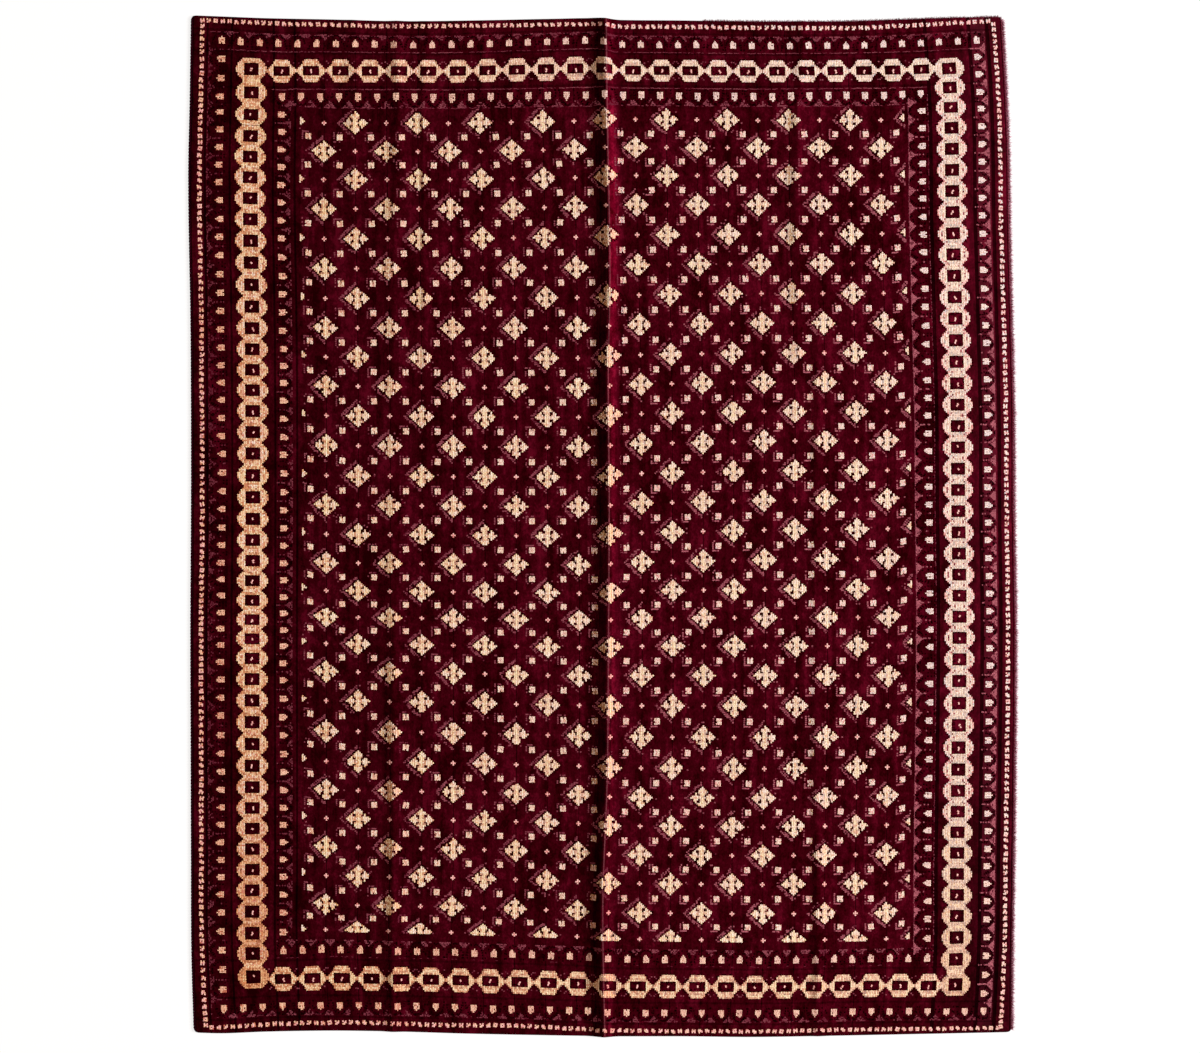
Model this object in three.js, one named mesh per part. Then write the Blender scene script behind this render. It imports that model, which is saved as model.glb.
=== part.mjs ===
// A room-size wool rug, lying pile side up where it was unfolded, with its creases still in it.
// Millimetres. +X is the right-hand side, +Y the head end, +Z up. The origin is on the floor, under
// the middle of the rug.

import * as THREE from 'three';
import { mergeVertices } from 'three/addons/utils/BufferGeometryUtils.js';

// ------------------------------------------------------------------ driving dimensions

const CLOTH_THICKNESS = 10; // foundation and pile together
const CORD_WIDTH = 7; // wool-wrapped cord sewn along each long side
const CORD_HEIGHT = 9;
const SEAM_GAP = 0.5; // between a cord and the cloth that it is sewn to
const CORNER_RADIUS = 16;
const ROW_PITCH = 145; // length of one facet along the rug
const COLUMN_PITCH = 150; // width of one facet where the rug lies flat
const END_BOW_REACH = 134; // how far in from an end its bow still shows in the weave
const CREASE_FALL = 1.5; // how a crease's slope eases out: 1 would end it sharply, 2 very softly
const SAME_POINT = 1e-4; // corners nearer than this are one

const CLOTH = { color: 0x4a0510, roughness: 0.95, metalness: 0 };
const CORD = { color: 0x2e030b, roughness: 0.9, metalness: 0 };

// Where the two long sides lie, from the foot end up to the head end.
const SIDES = [
  { y: -1523, left: -1217, right: 1221 },
  { y: -1260, left: -1224, right: 1223 },
  { y: -1000, left: -1225, right: 1227 },
  { y: -650, left: -1226, right: 1231 },
  { y: -300, left: -1227, right: 1233 },
  { y: 50, left: -1225, right: 1228 },
  { y: 340, left: -1225, right: 1227 },
  { y: 640, left: -1227, right: 1220 },
  { y: 900, left: -1232, right: 1214 },
  { y: 1075, left: -1233, right: 1212 },
  { y: 1260, left: -1229, right: 1206 },
  { y: 1523, left: -1225, right: 1192 },
];

// Where the two ends lie, from the left side across to the right side.
const ENDS = [
  { x: -1233, foot: -1509, head: 1522 },
  { x: -1130, foot: -1512, head: 1518 },
  { x: -1000, foot: -1507, head: 1513 },
  { x: -800, foot: -1504, head: 1509 },
  { x: -600, foot: -1507, head: 1504 },
  { x: -400, foot: -1513, head: 1506 },
  { x: -150, foot: -1518, head: 1511 },
  { x: -25, foot: -1520, head: 1513 },
  { x: 40, foot: -1521, head: 1508 },
  { x: 250, foot: -1521, head: 1506 },
  { x: 450, foot: -1523, head: 1503 },
  { x: 700, foot: -1519, head: 1503 },
  { x: 900, foot: -1515, head: 1509 },
  { x: 1050, foot: -1512, head: 1514 },
  { x: 1233, foot: -1508, head: 1518 },
];

// The creases, from left to right. Each is a ridge that runs up the rug: crest is where its top lies
// across the rug, rise how far the cloth stands off the floor there, and leftFlank and rightFlank
// the widths of its two slopes. A small bend is a sharp crest and a large one a soft swell.
const CREASES = [
  {
    leftFlank: 32,
    rightFlank: 30,
    bend: 0.5,
    line: [
      { y: 760, crest: -735, rise: 0 },
      { y: 1150, crest: -738, rise: 4 },
      { y: 1523, crest: -744, rise: 4 },
    ],
  },
  {
    leftFlank: 36,
    rightFlank: 42,
    bend: 0.25,
    line: [
      { y: -1523, crest: -624, rise: 10 },
      { y: -1000, crest: -620, rise: 12 },
      { y: -520, crest: -622, rise: 10 },
      { y: -150, crest: -621, rise: 5 },
      { y: 560, crest: -624, rise: 4 },
      { y: 900, crest: -616, rise: 6 },
      { y: 1200, crest: -609, rise: 9 },
      { y: 1523, crest: -612, rise: 9 },
    ],
  },
  {
    leftFlank: 22,
    rightFlank: 30,
    bend: 0.5,
    line: [
      { y: 220, crest: -536, rise: 0 },
      { y: 560, crest: -536, rise: 4 },
      { y: 1000, crest: -540, rise: 5 },
      { y: 1523, crest: -544, rise: 4 },
    ],
  },
  {
    leftFlank: 56,
    rightFlank: 46,
    bend: 0.12,
    line: [
      { y: -1523, crest: 6, rise: 25 },
      { y: -1120, crest: 0, rise: 28 },
      { y: -750, crest: 13, rise: 27 },
      { y: -280, crest: 17, rise: 24 },
      { y: 80, crest: 19, rise: 24 },
      { y: 430, crest: 16, rise: 24 },
      { y: 760, crest: 21, rise: 26 },
      { y: 1240, crest: 13, rise: 27 },
      { y: 1523, crest: 10, rise: 25 },
    ],
  },
  {
    leftFlank: 34,
    rightFlank: 22,
    bend: 0.35,
    line: [
      { y: 260, crest: 584, rise: 0 },
      { y: 680, crest: 583, rise: 5 },
      { y: 1090, crest: 580, rise: 8 },
      { y: 1523, crest: 600, rise: 6 },
    ],
  },
  {
    leftFlank: 24,
    rightFlank: 36,
    bend: 0.4,
    line: [
      { y: -1523, crest: 644, rise: 6 },
      { y: -1000, crest: 640, rise: 7 },
      { y: -400, crest: 637, rise: 4 },
      { y: 100, crest: 640, rise: 5 },
      { y: 460, crest: 641, rise: 5 },
      { y: 700, crest: 648, rise: 0 },
      { y: 1523, crest: 690, rise: 0 },
    ],
  },
];

// Where each slope of a crease is cut into facets, from its crest out to its foot.
const FLANK_STEPS = [0.13, 0.32, 0.6, 1];

// ------------------------------------------------------------------ reading the tables

/** One column of a table, read smoothly between its rows at a place along another column. */
function read(table, along, column, place) {
  const last = table.length - 1;
  let row = 0;
  while (row < last - 1 && place > table[row + 1][along]) row += 1;
  const slope = (low, high) =>
    (table[high][column] - table[low][column]) / (table[high][along] - table[low][along]);
  const span = table[row + 1][along] - table[row][along];
  const part = THREE.MathUtils.clamp((place - table[row][along]) / span, 0, 1);
  const startSlope = slope(Math.max(row - 1, 0), row + 1) * span;
  const endSlope = slope(row, Math.min(row + 2, last)) * span;
  const square = part * part;
  const cube = square * part;
  return (
    table[row][column] * (2 * cube - 3 * square + 1) +
    startSlope * (cube - 2 * square + part) +
    table[row + 1][column] * (3 * square - 2 * cube) +
    endSlope * (cube - square)
  );
}

const leftSide = (y) => read(SIDES, 'y', 'left', y);
const rightSide = (y) => read(SIDES, 'y', 'right', y);
const FOOT = SIDES[0].y;
const HEAD = SIDES[SIDES.length - 1].y;

// ------------------------------------------------------------------ how the rug lies

/** Height of the cloth's underside above the floor: nothing, except under a crease. */
function rise(x, y) {
  let height = 0;
  for (const crease of CREASES) {
    const { line, leftFlank, rightFlank, bend } = crease;
    const top = line[line.length - 1].y;
    if (y < line[0].y || y > top) continue;
    const away = x - read(line, 'y', 'crest', y);
    const part = Math.abs(away) / (away < 0 ? leftFlank : rightFlank);
    if (part >= 1) continue;
    const rounded = (part * part * (1 + bend)) / (part + bend);
    height += Math.max(read(line, 'y', 'rise', y), 0) * (1 - rounded) ** CREASE_FALL;
  }
  return height;
}

/** Where a point of the straight-cut rug lies: the ends bow a little, and the weave beside them. */
function bowed(x, y) {
  const toHead = (HEAD - y) / END_BOW_REACH;
  const toFoot = (y - FOOT) / END_BOW_REACH;
  const headBow = (read(ENDS, 'x', 'head', x) - HEAD) * Math.exp(-toHead * toHead);
  const footBow = (read(ENDS, 'x', 'foot', x) - FOOT) * Math.exp(-toFoot * toFoot);
  return y + headBow + footBow;
}

/** Draws a point that lies near a square corner in onto the rounded corner. */
function roundedCorner(x, y) {
  const left = x < 0;
  const edge = left ? leftSide(y) : rightSide(y);
  const centreX = left ? edge + CORNER_RADIUS : edge - CORNER_RADIUS;
  const centreY = y < 0 ? FOOT + CORNER_RADIUS : HEAD - CORNER_RADIUS;
  const across = (left ? centreX - x : x - centreX) / CORNER_RADIUS;
  const along = (y < 0 ? centreY - y : y - centreY) / CORNER_RADIUS;
  if (across <= 0 || along <= 0) return [x, y];
  const narrower = Math.sqrt(1 - (along * along) / 2);
  const shorter = Math.sqrt(1 - (across * across) / 2);
  return [centreX + (x - centreX) * narrower, centreY + (y - centreY) * shorter];
}

/** Where a point of the straight-cut rug comes to lie, a height above the cloth's underside. */
function lie(x, y, height) {
  const [acrossRug, alongRug] = roundedCorner(x, y);
  return new THREE.Vector3(acrossRug, bowed(acrossRug, alongRug), rise(acrossRug, y) + height);
}

// ------------------------------------------------------------------ facets

/** Numbers from start to end, evenly spaced, no further apart than pitch. */
function spaced(start, end, pitch) {
  const steps = Math.max(Math.ceil((end - start) / pitch), 1);
  return Array.from({ length: steps + 1 }, (_, step) => start + ((end - start) * step) / steps);
}

/** The rows of facets up the rug, closer together round the corners. */
function rowsUpTheRug() {
  const half = CORNER_RADIUS / 2;
  const between = spaced(FOOT + CORNER_RADIUS, HEAD - CORNER_RADIUS, ROW_PITCH);
  return [FOOT, FOOT + half, ...between, HEAD - half, HEAD];
}

/** The lines of facets across the cloth at one row: its edges, each crease and the flats between. */
function linesAcross(y) {
  const seam = CORD_WIDTH + SEAM_GAP;
  const cornerInsets = [seam, (seam + CORNER_RADIUS) / 2, CORNER_RADIUS];
  const groups = [cornerInsets.map((inset) => leftSide(y) + inset)];
  for (const { line, leftFlank, rightFlank } of CREASES) {
    const crest = read(line, 'y', 'crest', y);
    const left = FLANK_STEPS.map((step) => crest - leftFlank * step).reverse();
    groups.push([...left, crest, ...FLANK_STEPS.map((step) => crest + rightFlank * step)]);
  }
  groups.push(cornerInsets.map((inset) => rightSide(y) - inset).reverse());
  return groups;
}

/** How many flat facets fill the room between neighbouring groups of lines, the same in every row. */
function fillsBetween(groups) {
  return groups.slice(1).map((group, index) => {
    const room = group[0] - groups[index][groups[index].length - 1];
    return Math.max(Math.ceil(room / COLUMN_PITCH), 1);
  });
}

/** Every line of facets across one row, with the flats between creases filled in. */
function filledRow(y, fills) {
  const groups = linesAcross(y);
  const xs = [...groups[0]];
  for (let index = 1; index < groups.length; index += 1) {
    const from = xs[xs.length - 1];
    const to = groups[index][0];
    for (let step = 1; step < fills[index - 1]; step += 1) {
      xs.push(from + ((to - from) * step) / fills[index - 1]);
    }
    xs.push(...groups[index]);
  }
  return xs;
}

/** A closed geometry from quads, each given as four corners that run anticlockwise from outside. */
function closedGeometry(quads) {
  const positions = [];
  for (const [a, b, c, d] of quads) {
    for (const corner of [a, b, c, a, c, d]) positions.push(corner.x, corner.y, corner.z);
  }
  const geometry = new THREE.BufferGeometry();
  geometry.setAttribute('position', new THREE.Float32BufferAttribute(positions, 3));
  const merged = mergeVertices(geometry, SAME_POINT);
  merged.computeVertexNormals();
  return merged;
}

// ------------------------------------------------------------------ the pieces

/** The woven cloth: a top and an underside that follow the same creases, joined round the edge. */
function clothGeometry() {
  const rows = rowsUpTheRug();
  const fills = fillsBetween(linesAcross(0));
  const at = (height) => rows.map((y) => filledRow(y, fills).map((x) => lie(x, y, height)));
  const top = at(CLOTH_THICKNESS);
  const under = at(0);
  const quads = [];
  const lastRow = rows.length - 1;
  const right = top[0].length - 1;
  for (let row = 0; row < lastRow; row += 1) {
    const next = row + 1;
    for (let line = 0; line < right; line += 1) {
      quads.push([top[row][line], top[row][line + 1], top[next][line + 1], top[next][line]]);
      quads.push([under[row][line], under[next][line], under[next][line + 1], under[row][line + 1]]);
    }
    quads.push([under[row][0], top[row][0], top[next][0], under[next][0]]);
    quads.push([under[row][right], under[next][right], top[next][right], top[row][right]]);
  }
  const [footTop, footUnder, headTop, headUnder] = [top[0], under[0], top[lastRow], under[lastRow]];
  for (let line = 0; line < right; line += 1) {
    quads.push([footUnder[line], footUnder[line + 1], footTop[line + 1], footTop[line]]);
    quads.push([headUnder[line], headTop[line], headTop[line + 1], headUnder[line + 1]]);
  }
  return closedGeometry(quads);
}

/** A cord's section, flat under and round on top, as places across its width and heights. */
function cordSection() {
  const SHOULDER = 0.22; // of the width, where the section rounds over
  return [
    { across: SHOULDER, height: 0 },
    { across: 1 - SHOULDER, height: 0 },
    { across: 1, height: 0.25 },
    { across: 1, height: 0.68 },
    { across: 1 - SHOULDER, height: 1 },
    { across: SHOULDER, height: 1 },
    { across: 0, height: 0.68 },
    { across: 0, height: 0.25 },
  ];
}

/** One edge cord: the section carried up the rug along its long side, closed at both ends. */
function cordGeometry(outerEdge, inward) {
  const section = cordSection();
  const rings = rowsUpTheRug().map((y) =>
    section.map(({ across, height }) => {
      const x = outerEdge(y) + inward * CORD_WIDTH * across;
      return lie(x, y, CORD_HEIGHT * height);
    }),
  );
  if (inward < 0) rings.forEach((ring) => ring.reverse());
  const quads = [];
  for (let ring = 0; ring < rings.length - 1; ring += 1) {
    for (let side = 0; side < section.length; side += 1) {
      const next = (side + 1) % section.length;
      quads.push([rings[ring][side], rings[ring + 1][side], rings[ring + 1][next], rings[ring][next]]);
    }
  }
  for (const [ring, atHead] of [[rings[0], false], [rings[rings.length - 1], true]]) {
    for (let side = 1; side < section.length - 2; side += 2) {
      const cap = [ring[0], ring[side], ring[side + 1], ring[side + 2]];
      quads.push(atHead ? cap.reverse() : cap);
    }
  }
  return closedGeometry(quads);
}

/** A named piece with its own material. */
function piece(name, geometry, finish) {
  const mesh = new THREE.Mesh(geometry, new THREE.MeshStandardMaterial(finish));
  mesh.name = name;
  return mesh;
}

const rug = new THREE.Group();
rug.add(piece('rug_cloth', clothGeometry(), CLOTH));
rug.add(piece('side_cord_left', cordGeometry(leftSide, 1), CORD));
rug.add(piece('side_cord_right', cordGeometry(rightSide, -1), CORD));

export default rug;
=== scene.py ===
"""A room-size wool rug with a lattice field and a chain border, laid flat with fold creases."""

import math

import bpy
import numpy as np
from bpy.props import FloatProperty, FloatVectorProperty, PointerProperty
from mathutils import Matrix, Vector


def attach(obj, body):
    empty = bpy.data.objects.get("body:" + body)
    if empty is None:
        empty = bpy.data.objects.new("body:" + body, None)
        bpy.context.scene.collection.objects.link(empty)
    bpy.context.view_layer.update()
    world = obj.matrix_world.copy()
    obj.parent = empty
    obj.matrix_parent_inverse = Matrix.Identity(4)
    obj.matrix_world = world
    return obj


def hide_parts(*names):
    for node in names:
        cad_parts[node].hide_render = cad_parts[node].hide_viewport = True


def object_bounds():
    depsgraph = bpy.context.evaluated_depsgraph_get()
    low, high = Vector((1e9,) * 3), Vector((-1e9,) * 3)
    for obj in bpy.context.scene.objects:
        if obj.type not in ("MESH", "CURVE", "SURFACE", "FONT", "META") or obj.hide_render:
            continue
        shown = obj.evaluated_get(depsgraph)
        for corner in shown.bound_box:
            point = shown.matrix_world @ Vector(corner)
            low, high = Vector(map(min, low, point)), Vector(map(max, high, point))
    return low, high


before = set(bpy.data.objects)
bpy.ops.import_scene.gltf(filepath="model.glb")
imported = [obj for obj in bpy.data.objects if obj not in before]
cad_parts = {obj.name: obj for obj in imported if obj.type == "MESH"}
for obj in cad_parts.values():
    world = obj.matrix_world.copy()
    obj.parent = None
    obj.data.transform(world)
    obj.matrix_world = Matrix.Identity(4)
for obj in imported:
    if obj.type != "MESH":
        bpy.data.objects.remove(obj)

bl_info = {
    "name": "Lattice wool rug",
    "version": (1, 0, 0),
    "blender": (4, 5, 0),
    "location": "View3D > Sidebar > Rug",
    "description": "Lays a knotted wool rug with its borders, side cords and fold creases",
    "category": "Add Mesh",
}

CAD_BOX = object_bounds()
MM = 0.001  # everything below is worked out in millimetres and made in metres


def table(**columns):
    """A short table, as one array for each of its columns."""
    return {name: np.array(values, float) for name, values in columns.items()}


# ---- how the rug lies

CORD_WIDTH = 7.0
CORD_HEIGHT = 9.0
SEAM_GAP = 0.5
CORNER_RADIUS = 16.0
END_BOW_REACH = 134.0  # how far in from an end its bow still shows in the weave
CREASE_FALL = 1.5  # how a crease's slope eases out

SIDES = table(
    y=[-1523, -1260, -1000, -650, -300, 50, 340, 640, 900, 1075, 1260, 1523],
    left=[-1217, -1224, -1225, -1226, -1227, -1225, -1225, -1227, -1232, -1233, -1229, -1225],
    right=[1221, 1223, 1227, 1231, 1233, 1228, 1227, 1220, 1214, 1212, 1206, 1192],
)
ENDS = table(
    x=[-1233, -1130, -1000, -800, -600, -400, -150, -25, 40, 250, 450, 700, 900, 1050, 1233],
    foot=[
        -1509, -1512, -1507, -1504, -1507, -1513, -1518, -1520, -1521, -1521, -1523, -1519, -1515,
        -1512, -1508,
    ],
    head=[
        1522, 1518, 1513, 1509, 1504, 1506, 1511, 1513, 1508, 1506, 1503, 1503, 1509, 1514, 1518,
    ],
)
FOOT, HEAD = SIDES["y"][0], SIDES["y"][-1]


def crease(left_flank, right_flank, bend, **line):
    """A fold crease: how far its flanks reach, how they bend, and its line along the rug."""
    line = table(**line)
    return {"left_flank": left_flank, "right_flank": right_flank, "bend": bend, "line": line}


CREASES = [
    crease(32, 30, 0.5, y=[760, 1150, 1523], crest=[-735, -738, -744], rise=[0, 4, 4]),
    crease(
        36, 42, 0.25,
        y=[-1523, -1000, -520, -150, 560, 900, 1200, 1523],
        crest=[-624, -620, -622, -621, -624, -616, -609, -612],
        rise=[10, 12, 10, 5, 4, 6, 9, 9],
    ),
    crease(
        15, 30, 0.5, y=[220, 560, 1000, 1523], crest=[-528, -528, -530, -536], rise=[0, 3, 4, 3],
    ),
    crease(
        56, 46, 0.12,
        y=[-1523, -1120, -750, -280, 80, 430, 760, 1240, 1523],
        crest=[6, 0, 13, 17, 19, 16, 21, 13, 10],
        rise=[25, 28, 27, 24, 24, 24, 26, 27, 25],
    ),
    crease(34, 22, 0.35, y=[260, 680, 1090, 1523], crest=[584, 583, 580, 600], rise=[0, 5, 8, 6]),
    crease(
        24, 36, 0.4,
        y=[-1523, -1000, -400, 100, 460, 700, 1523],
        crest=[644, 640, 637, 640, 641, 648, 690],
        rise=[6, 7, 4, 5, 5, 0, 0],
    ),
]
MIDDLE_CREASE = 3
# The cloth's slow and quick cockles: their share of the height, their width, how far, how slowly
# and from where they wander, their length, and from where along it they start.
COCKLES = [(0.65, 61, 1.7, 340, 0.0, 205, 0.8), (0.35, 23, 2.1, 97, 1.0, 71, 0.0)]

# How far the weave has drifted along the rug and across it: at the guards, at the edges of the
# field, halfway to the middle crease and beside that crease, left and right.
DRIFT_ALONG = table(
    y=[-1523, -1443, -1283, -1133, -780, -434, 0, 434, 780, 1213, 1283, 1443, 1523],
    outer=[0, -3, 19, 24, 15, 23, -5, -1, 3, 7, 0, 7, 0],
    inner=[0, 2, 17, 25, 14, 19, -8, -4, -3, -2, -2, 1, 0],
    field=[0, 1, 21, 10, 5, 4, -15, -11, -11, -8, -4, 3, 0],
    half=[0, 1, 12, 3, -1, -2, -19, -15, -10, -9, -5, 3, 0],
    crease=[0, -5, -1, -11, -11, -11, -21, -16, -6, -1, 2, 10, 0],
    crease_right=[0, -9, -7, -14, -17, -8, -12, -7, 0, 4, 2, 2, 0],
    half_right=[0, -10, -12, -18, -20, -8, -3, 1, 4, 0, -2, 1, 0],
    field_right=[0, -8, -6, -15, -14, -8, 1, 0, 5, 1, 1, 2, 0],
    inner_right=[0, -10, -5, 7, -2, 12, 11, 7, 12, 8, 3, 3, 0],
    outer_right=[0, -12, 3, 3, -1, 11, 10, 8, 14, 15, 10, 9, 0],
)
DRIFT_PLACES = [-1130, -945, -834, -450, -30, 30, 450, 834, 945, 1130]
# The field's rows have drifted a little by themselves, as far across as the field goes.
FIELD_DRIFT = table(
    y=[
        -1226, -1133, -1046, -872, -698, -524, -350, -177, -3, 171, 345, 519, 692, 866, 1040,
        1213, 1300,
    ],
    along=[0, -5, -3, -4, -7, -1, 0, -7, -6, -5, -3, -4, -3, 0, 2, -5, 0],
)
# So has the left border.
LEFT_DRIFT = table(
    y=[-1283, -427, -267, -106, 53, 213, 374, 534, 694, 855, 1015, 1176, 1336, 1443],
    along=[0, 0, -3.5, -2.3, 1.5, 5, 2.6, -2.8, -2.5, 2.2, 1.6, -1.5, -2.4, 0],
)
LEFT_HOLD = (925, 955)  # where that starts, and is full
FIELD_HOLD = (850, 935)  # where that drift of the field starts to fade, and ends
DRIFT_ACROSS = table(
    y=[-1523, -1250, -1000, -500, 0, 500, 1000, 1250, 1523],
    guard=[8, 2, 2, 2, 4, 3, 4, 4, 6],
    field=[2, -2, 0, 0, 0, 0, 1, 1, -4],
    half=[-4, -5, 0, 0, 1, 1, 2, -5, 1],
    crease=[-9, -2, -1, 2, 1, 1, 2, -1, -1],
    crease_right=[-7, -1, -2, 2, 4, 3, 0, -2, -2],
    half_right=[-13, -2, -6, 0, -2, -1, -6, -5, -10],
    field_right=[-11, 1, -2, 0, 2, -1, -3, -1, -8],
    guard_right=[-8, 3, 2, 3, 4, 3, 1, 2, -1],
)
DRIFT_ACROSS_PLACES = [-1130, -870, -450, -30, 30, 450, 870, 1130]
MIDDLE_DRIFT = 21.0  # how far the middle of the weave lies to the right of halfway
MIDDLE_DRIFT_EASE = 2.4
HALF_WIDTH = 1225.0  # of the rug as it is woven, before it bows
STEPS_BACK = 6  # how often a place in the weave is corrected until it lies where it should


def read(rows, along, column, place):
    """One column of a table, read smoothly between its rows at places along another column."""
    places, values = rows[along], rows[column]
    last = len(places) - 1
    place = np.clip(place, places[0], places[-1])
    row = np.clip(np.searchsorted(places, place) - 1, 0, last - 1)

    def slope(low, high):
        return (values[high] - values[low]) / (places[high] - places[low])

    span = places[row + 1] - places[row]
    part = (place - places[row]) / span
    start = slope(np.maximum(row - 1, 0), row + 1) * span
    end = slope(row, np.minimum(row + 2, last)) * span
    square, cube = part**2, part**3
    return (
        values[row] * (2 * cube - 3 * square + 1)
        + start * (cube - 2 * square + part)
        + values[row + 1] * (3 * square - 2 * cube)
        + end * (cube - square)
    )


def left_side(y):
    return read(SIDES, "y", "left", y)


def right_side(y):
    return read(SIDES, "y", "right", y)


def rise(x, y):
    """Height of the cloth's underside above the floor: nothing, except under a crease."""
    height = np.zeros(np.broadcast(x, y).shape)
    for fold in CREASES:
        line = fold["line"]
        away = x - read(line, "y", "crest", y)
        flank = np.where(away < 0, fold["left_flank"], fold["right_flank"])
        part = np.minimum(np.abs(away) / flank, 1)
        rounded = part**2 * (1 + fold["bend"]) / (part + fold["bend"])
        top = np.maximum(read(line, "y", "rise", y), 0)
        top = np.where(y < line["y"][0], 0, top)
        height += top * (1 - rounded) ** CREASE_FALL
    return height


def bow(x, y):
    """How far the bow of the ends draws a point of the straight-cut rug along it."""
    to_head = (HEAD - y) / END_BOW_REACH
    to_foot = (y - FOOT) / END_BOW_REACH
    head = (read(ENDS, "x", "head", x) - HEAD) * np.exp(-(to_head**2))
    foot = (read(ENDS, "x", "foot", x) - FOOT) * np.exp(-(to_foot**2))
    return head + foot


def rounded_corner(x, y):
    """Draws points that lie near a square corner in onto the rounded corner."""
    left = x < 0
    centre_x = np.where(left, left_side(y) + CORNER_RADIUS, right_side(y) - CORNER_RADIUS)
    centre_y = np.where(y < 0, FOOT + CORNER_RADIUS, HEAD - CORNER_RADIUS)
    across = np.where(left, centre_x - x, x - centre_x) / CORNER_RADIUS
    along = np.where(y < 0, centre_y - y, y - centre_y) / CORNER_RADIUS
    inside = (across > 0) & (along > 0)
    narrower = np.where(inside, np.sqrt(1 - np.clip(along, 0, 1) ** 2 / 2), 1)
    shorter = np.where(inside, np.sqrt(1 - np.clip(across, 0, 1) ** 2 / 2), 1)
    return centre_x + (x - centre_x) * narrower, centre_y + (y - centre_y) * shorter


def lie(x, y, height):
    """Where points of the straight-cut rug come to lie, a height above its underside."""
    across, along = rounded_corner(x, y)
    return across, bow(across, along) + along, rise(across, y) + height


def cockle(x, y):
    """The slight unevenness of cloth that was folded away, from -1 to 1."""
    height = 0.0
    for share, width, wander, wander_length, wander_start, length, start in COCKLES:
        across = np.sin(x / width + wander * np.sin(y / wander_length + wander_start))
        height = height + share * (across * np.sin(y / length + start))
    return height


def ground_height(x, y, rug):
    """Height of the burgundy ground's surface above the floor."""
    return rise(x, y) + rug.ground_top + rug.cockling * cockle(x, y)


def drifted(rows, places, p, q):
    """How far the weave has drifted at a place in it, from a table for places across it."""
    places = np.array(places)
    drifts = np.stack([read(rows, "y", line, q) for line in rows if line != "y"])
    place = np.clip(p, places[0], places[-1])
    span = np.clip(np.searchsorted(places, place) - 1, 0, len(places) - 2)
    part = (place - places[span]) / (places[span + 1] - places[span])
    low = np.take_along_axis(drifts, span[None], 0)[0]
    high = np.take_along_axis(drifts, span[None] + 1, 0)[0]
    return low * (1 - part) + high * part


def woven_to_lying(p, q):
    """Where a place in the weave, p across and q along the loom, has come to lie."""
    across = (p + HALF_WIDTH) / (2 * HALF_WIDTH)
    middle = 1 - np.abs(2 * across - 1) ** MIDDLE_DRIFT_EASE
    left, right = left_side(q), right_side(q)
    x = left + (right - left) * across + MIDDLE_DRIFT * middle
    x = x + drifted(DRIFT_ACROSS, DRIFT_ACROSS_PLACES, p, q)
    held, free = FIELD_HOLD
    own = read(FIELD_DRIFT, "y", "along", q) * np.clip((free - np.abs(p)) / (free - held), 0, 1)
    free, held = LEFT_HOLD
    own = own + read(LEFT_DRIFT, "y", "along", q) * np.clip((-p - free) / (held - free), 0, 1)
    return x, q + bow(x, q) + drifted(DRIFT_ALONG, DRIFT_PLACES, p, q) + own


def lying_to_woven(x, y):
    """The place in the weave that has come to lie at a point: found by stepping back to it."""
    p, q = x.copy(), y.copy()
    for _ in range(STEPS_BACK):
        lying_x, lying_y = woven_to_lying(p, q)
        p, q = p + x - lying_x, q + y - lying_y
    return p, q


# ---- sizes and colours


def dye(red, green, blue):
    """A colour given as it looks on a screen, from 0 to 255, as the light that it reflects."""

    def light(value):
        value /= 255
        return value / 12.92 if value <= 0.04045 else ((value + 0.055) / 1.055) ** 2.4

    return light(red), light(green), light(blue)


def size(name, description, default, **kind):
    return FloatProperty(name=name, description=description, default=default, min=0.0, **kind)


def colour(name, description, screen):
    kind = {"size": 3, "subtype": "COLOR", "min": 0.0, "max": 1.0}
    return FloatVectorProperty(name=name, description=description, default=dye(*screen), **kind)


class RugSizes(bpy.types.PropertyGroup):
    """Sizes of the cloth and its knots, in millimetres."""

    ground_top: size("Ground height", "Height of the burgundy ground over the floor, mm", 9.3)
    cockling: size("Cockling", "Height of the slight unevenness of the ground, mm", 0.55)
    ground_step: size("Ground step", "Most room between lines of the ground's mesh, mm", 13.0)
    ground_rows: size("Ground rows", "Room between the rows of the ground's mesh, mm", 15.0)
    tuft_height: size("Tuft height", "How far a light knot stands over the ground, mm", 1.1)
    sunk_height: size("Sunk height", "How far a dark outline knot stands, mm", 0.5)
    knot_root: size("Knot root", "How far each knot is sunk in the ground, mm", 0.4)
    turn_pitch: size("Overcast pitch", "Room that one turn of the side cord takes, mm", 9.5)
    turn_depth: size("Overcast depth", "How far the side cord pulls in between turns, mm", 1.3)


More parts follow.
